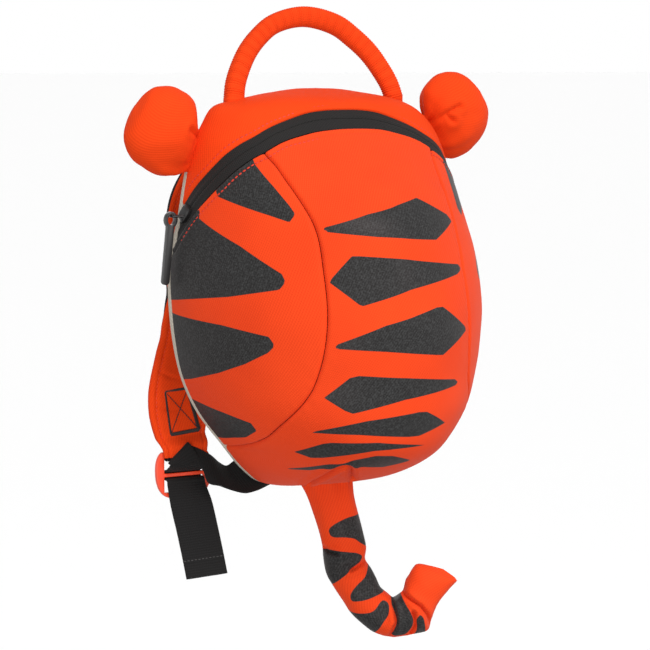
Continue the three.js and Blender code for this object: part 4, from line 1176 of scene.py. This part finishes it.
WEB_END = [  # down, side, forward, turn
    (0.25, 0.03, 0.27, 20), (0.5, 0.08, 0.33, 24), (0.75, 0.13, 0.365, 25), (1, 0.169, 0.433, 25),
]
WEB_END_START = 2.2
WEB_HEM = 0.974
FREE_ENDS = {  # length, and how much of its forward lean the webbing keeps before the lock
    "left": (59.5, 1.0),
    "right": (12.0, 0.1),
}
LOCK_BAR_HALF = 1.1
SLOT_CLEARANCE = 0.7
LOCK_FROM_STRAP_END = (0, -2, -15.5)
web_corner = back_seam_point(0.86)
web_flat_y = PAD_BACK_Y + 2 * GAP + WEB_THICKNESS / 2
web_root = np.array([web_corner[0] * 0.46, web_flat_y, web_corner[2]])


def lock_place(strap_raise):
    return np.array(strap_path(strap_raise)[-1]) + LOCK_FROM_STRAP_END


def swung_back(upper, lower, share):
    """A ribbon's lower edge, turned back about its upper edge."""
    across = np.subtract(lower, upper)
    forward = across[1] * share
    height = math.copysign(math.sqrt(across[1] ** 2 + across[2] ** 2 - forward ** 2), across[2])
    return np.array(upper) + (across[0], forward, height)


def web_edges(strap_raise, free_end, kept_forward):
    """Pairs of points on the webbing's two edges, from the bag's corner to its free end."""
    lock = lock_place(strap_raise)
    edges = [tuple(web_root + np.array(end) * WEB_WIDTH for end in row) for row in WEB_ROOT]
    for upper, lower in WEB_APPROACH:
        swung = swung_back(upper, lower, kept_forward)
        edges.append((lock + np.array(upper) * WEB_WIDTH, lock + swung * WEB_WIDTH))
    flat = np.array([WEB_WIDTH / 2, 0, 0])
    bend = LOCK_BAR_HALF + SLOT_CLEARANCE + WEB_THICKNESS / 2
    for back, up in ROUND_BAR:
        middle = lock + np.array([0, back, up]) * bend
        edges.append((middle + flat, middle - flat))
    for down, shift, forward, turn in WEB_END:
        fall = down * free_end + WEB_END_START
        middle = lock + (shift * free_end, -forward * WEB_WIDTH, -fall)
        c, s = math.cos(math.radians(turn)), math.sin(math.radians(turn))
        half = unit(np.array([c, -s, s / 3])) * WEB_WIDTH / 2
        edges.append((middle + half, middle - half))
    return edges


route = np.array(web_edges(0.0, *FREE_ENDS["left"])).mean(axis=1)
print("left webbing's length, mm:", round(float(lengths_along(route)[-1])))

# %% [markdown]
# The ribbon spans its two edges and has square corners. Where its end is folded over and sewn it
# is nearly twice as thick. The short loop that ties each lock to its strap is a ribbon too.

# %% Webbing and loops
LOOP_HALF_WIDTH = 11.8
LOOP_THICKNESS = 1.2
LOOP_ROWS = [  # y, z from the lock
    (-2.7, 15.2), (-2.7, 10.92), (-2.16, 9.47), (0, 8.8), (2.16, 9.47), (2.7, 10.92), (2.7, 15.2),
]


def ribbon_place(edges, thickness, sign, hem=2.0):
    """A ribbon between two edges. Past the share hem it is folded over and sewn."""
    upper, lower = (np.array([edge[k] for edge in edges], float) for k in (0, 1))

    def run_to(share):
        return through(upper, share) + through(lower, share)

    def place(a, b):
        first, second = through(upper, b), through(lower, b)
        run = run_to(np.minimum(b + 0.002, 1)) - run_to(np.maximum(b - 0.002, 0))
        face = unit(np.cross(second - first, run))
        angle = 2 * np.pi * a
        c, s = np.cos(angle), np.sin(angle)
        wide = signed_power(c, 0.3)
        past_hem = 1 / (1 + np.exp(-(b - hem) * 400))
        groove = ridge(b - hem, 0.003, 0.005)
        thick = signed_power(s, 0.3) * thickness / 2 * (1 + 0.9 * past_hem - 0.7 * groove)
        points = (first + second) / 2 + (first - second) / 2 * wide[:, None] + face * thick[:, None]
        return to_side(points, sign)
    return place


for side, sign, strap_raise in SIDES:
    edges = web_edges(strap_raise, *FREE_ENDS[side])
    place = ribbon_place(edges, WEB_THICKNESS, sign, hem=WEB_HEM)
    webbing = grid_piece(f"webbing_{side}_woven", 48, 520, place)
    weld(webbing, holes=True)
    finish_piece(webbing, black_web, "black_webbing", f"webbing_{side}")

    lock = lock_place(strap_raise)
    edges = [(lock + (LOOP_HALF_WIDTH, y, z), lock + (-LOOP_HALF_WIDTH, y, z)) for y, z in LOOP_ROWS]
    loop = grid_piece(f"loop_{side}_woven", 40, 60, ribbon_place(edges, LOOP_THICKNESS, sign))
    weld(loop, holes=True)
    finish_piece(loop, black_web, "black_webbing", f"web_loop_{side}")

# %% [markdown]
# Locks, slider and puller are hard and small. They could be modelled again, but their packed
# solids already have the right shape. So a copy of each is welded, its edges are bevelled, and it
# gets a moulded or painted finish.

# %% Hard parts
def moulded(name, colour, roughness, grain=0.03, coat=0.0):
    finish = bpy.data.materials.new(name)
    finish.use_nodes = True
    tree = finish.node_tree
    shader = tree.nodes["Principled BSDF"]
    spot = node(tree, "ShaderNodeTexCoord").outputs["Object"]
    fine = speckle(tree, spot, 700.0)
    slow = speckle(tree, spot, 60.0)
    tone = mixed(tree, slow, (*(c * 0.86 for c in colour), 1), (*colour, 1))
    tree.links.new(tone, shader.inputs["Base Color"])
    rough = ranged(tree, fine, 0.0, 1.0, roughness - 0.05, roughness + 0.07)
    tree.links.new(rough, shader.inputs["Roughness"])
    relief = node(tree, "ShaderNodeBump", {"Height": fine, "Strength": grain, "Distance": 0.0002})
    tree.links.new(relief.outputs[0], shader.inputs["Normal"])
    shader.inputs["Coat Weight"].default_value = coat
    return finish


orange_plastic = moulded("orange_acetal", (0.95, 0.07, 0.02), 0.36)
black_metal = moulded("black_paint", (0.016, 0.015, 0.015), 0.34, coat=0.3)


def bevelled_copy(node_name, name, width):
    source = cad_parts[node_name]
    piece = source.copy()
    piece.data = source.data.copy()
    piece.name = piece.data.name = name
    piece.parent = None
    bpy.context.collection.objects.link(piece)
    piece.hide_set(False)
    weld(piece, reach=0.02)
    bpy.ops.object.mode_set(mode="EDIT")
    bpy.ops.mesh.select_all(action="SELECT")
    bpy.ops.mesh.dissolve_limited(angle_limit=math.radians(1.0))
    bpy.ops.object.mode_set(mode="OBJECT")
    sharp = math.radians(40)
    modify(piece, "BEVEL", width=width * MM, segments=3, limit_method="ANGLE", angle_limit=sharp)
    return piece


for node_name, name, width, finish, slot, body in (
    ("ladder_lock_left", "lock_left_moulded", 0.5, orange_plastic, "orange_plastic", "bag"),
    ("ladder_lock_right", "lock_right_moulded", 0.5, orange_plastic, "orange_plastic", "bag"),
    ("zip_slider", "slider_painted", 0.12, black_metal, "black_plastic", "bag"),
    ("zip_puller", "puller_painted", 0.45, black_metal, "black_plastic", "puller"),
):
    part = bevelled_copy(node_name, name, width)
    finish_piece(part, finish, slot, node_name, body=body, angle=35)

# %% [markdown]
# Thread is what makes cloth look sewn. A drawn line would not catch the light as thread does, so
# the stitches are real. One stitch is a small stretched ball. It is modelled once, and its copies
# are laid end to end along a seam, each sunk a little into the cloth.

# %% One stitch and a row of them
def stitch_shape():
    bpy.ops.mesh.primitive_uv_sphere_add(segments=8, ring_count=5, radius=0.5)
    ball = bpy.context.object
    points = np.array([v.co[:] for v in ball.data.vertices])
    faces = [tuple(p.vertices) for p in ball.data.polygons]
    bpy.data.objects.remove(ball)
    return points, faces


stitch_points, stitch_faces = stitch_shape()


def values_at(places, reach, table):
    return np.stack([np.interp(places, reach, table[:, i]) for i in range(3)], axis=1)


def stitches(
    name, line, normals, material, slot, pitch=2.4, length=1.9, width=0.55, height=0.45, crosswise=False,
):
    """One mesh of equal stitches along a line, in millimetres, with its surface normals."""
    reach = lengths_along(line)
    places = np.arange(pitch / 2, reach[-1], pitch)
    at = values_at(places, reach, line)
    out = unit(values_at(places, reach, normals))
    along = unit(values_at(places + 0.3, reach, line) - at + 1e-9)
    aside = unit(np.cross(out, along))
    if crosswise:
        along, aside = aside, -along
    shaped = stitch_points * (length, width, height)
    axes = np.stack([along, aside, out], axis=1)
    points = at[:, None] + np.einsum("pi,sij->spj", shaped, axes)
    count = len(stitch_points)
    faces = [tuple(v + k * count for v in face) for k in range(len(places)) for face in stitch_faces]
    mesh = bpy.data.meshes.new(name)
    mesh.from_pydata((points.reshape(-1, 3) * MM).tolist(), [], faces)
    piece = bpy.data.objects.new(name, mesh)
    bpy.context.collection.objects.link(piece)
    finish_piece(piece, material, slot, angle=80)


print("points of one stitch:", len(stitch_points))

# %% [markdown]
# Two rows of long stitches follow the zip, one on the shell's hem and one on the hood. Their
# thread is painted darker than the cloth, as painted shade of the puckers round each stitch.

# %% Stitches beside the zip
orange_thread = moulded("orange_thread", (0.78, 0.05, 0.008), 0.6, grain=0.2)
# Painted shade: this thread is darker than the real orange-red thread, for the shade round each stitch.
thread_with_painted_shade = moulded("orange_thread_painted_shade", (0.60, 0.028, 0.008), 0.6, grain=0.2)
# Painted highlight: grey, lighter than the black webbing, so the stitches at its end read as the lit edge
# of the fold.
grey_thread_painted_highlight = moulded("grey_thread_painted_highlight", (0.05, 0.048, 0.047), 0.6, grain=0.2)
black_thread = moulded("black_thread", (0.018, 0.017, 0.017), 0.6, grain=0.2)


def zip_stitches(name, distance, depth):
    across, down = zip_line(np.linspace(0.012, 0.988, 400), distance)
    normals = bag_normal(across, down)
    line = bag(across, down) - normals * depth
    stitches(name, line, normals, thread_with_painted_shade, "orange_cloth", pitch=2.9, length=2.3, width=1.1)


zip_stitches("hem_stitching", ZIP_HALF_WIDTH + HEM_STITCH, 0.45)
zip_stitches("hood_stitching", -ZIP_HALF_WIDTH - HOOD_STITCH, 0.25)

# %% [markdown]
# Each strap is sewn along both edges. The near face has orange thread and the lining black.

# %% Strap stitches
STRAP_THREADS = {"near": (orange_thread, "orange_cloth"), "far": (black_thread, "black_webbing")}

for side, sign, strap_raise in SIDES:
    middle, across, back, half = strap_frame(np.linspace(0.03, 0.97, 300), strap_raise)
    for edge, edge_name in ((-0.8, "outer"), (0.8, "inner")):
        for face, face_name in ((-1, "near"), (1, "far")):
            line = to_side(middle + across * (edge * half)[:, None] + back * (face * 2.15), sign)
            name = f"strap_stitching_{side}_{edge_name}_{face_name}"
            stitches(name, line, to_side(back * face, sign), *STRAP_THREADS[face_name])

# %% [markdown]
# Low on each strap a sewn box with a cross holds the webbing that carries the lock. Its bars are
# close black stitches, thick on two sides and thin on the others, as a bar tack machine lays them.

# %% Sewn boxes
BOX_CORNERS = {  # x, z
    "top_out": (-87.2, -216.9),
    "top_in": (-72.0, -215.8),
    "low_in": (-65.8, -241.0),
    "low_out": (-84.8, -242.8),
}
BOX_BARS = [  # start, end, width
    ("top_out", "top_in", 1.9),
    ("top_in", "low_in", 2.8),
    ("low_in", "low_out", 2.8),
    ("low_out", "top_out", 1.5),
]
BOX_CROSS = [("top_out", "low_in"), ("top_in", "low_out")]
BOX_LIFT = 3.05


def on_strap(x, z, strap_raise):
    """Places on the near face of the left strap over flat x and z places."""
    middle = strap_frame(np.linspace(0, 1, 400), strap_raise)[0][::-1]
    return np.stack([x, np.interp(z, middle[:, 2], middle[:, 1]) - BOX_LIFT, z], axis=1)


def box_line(start, end, sign, strap_raise):
    part = np.linspace(0, 1, 40)[:, None]
    flat = np.array(BOX_CORNERS[start]) * (1 - part) + np.array(BOX_CORNERS[end]) * part
    return to_side(on_strap(flat[:, 0], flat[:, 1] + strap_raise, strap_raise), sign)


box_normals = np.tile([0, -1.0, 0.05], (40, 1))
for side, sign, strap_raise in SIDES:
    for number, (start, end, width) in enumerate(BOX_BARS, 1):
        stitches(
            f"box_stitching_{side}_{number}", box_line(start, end, sign, strap_raise), box_normals,
            black_thread, "black_webbing", pitch=0.62, length=width, width=0.8, height=0.6, crosswise=True,
        )
    for number, (start, end) in enumerate(BOX_CROSS, 1 + len(BOX_BARS)):
        stitches(
            f"box_stitching_{side}_{number}", box_line(start, end, sign, strap_raise), box_normals,
            black_thread, "black_webbing", pitch=1.5, length=1.6, width=0.6, height=0.6,
        )

# %% [markdown]
# The end of each webbing is folded over, and one row of stitches across it holds the fold. Their
# grey thread, lighter than the webbing, is a painted highlight along the fold's edge.

# %% Stitches at the webbing's ends
for side, sign, strap_raise in SIDES:
    edges = np.array(web_edges(strap_raise, *FREE_ENDS[side]))
    first, second = (through(edges[:, k], np.full(1, WEB_HEM - 0.002))[0] for k in (0, 1))
    part = np.linspace(0.03, 0.97, 20)[:, None]
    line = to_side(first + (second - first) * part + (-0.35, -0.85, 0), sign)
    stitches(
        f"web_end_stitching_{side}", line, np.tile([0, -1.0, 0], (20, 1)), grey_thread_painted_highlight, "black_webbing",
        pitch=2.2, length=1.7, width=0.6,
    )
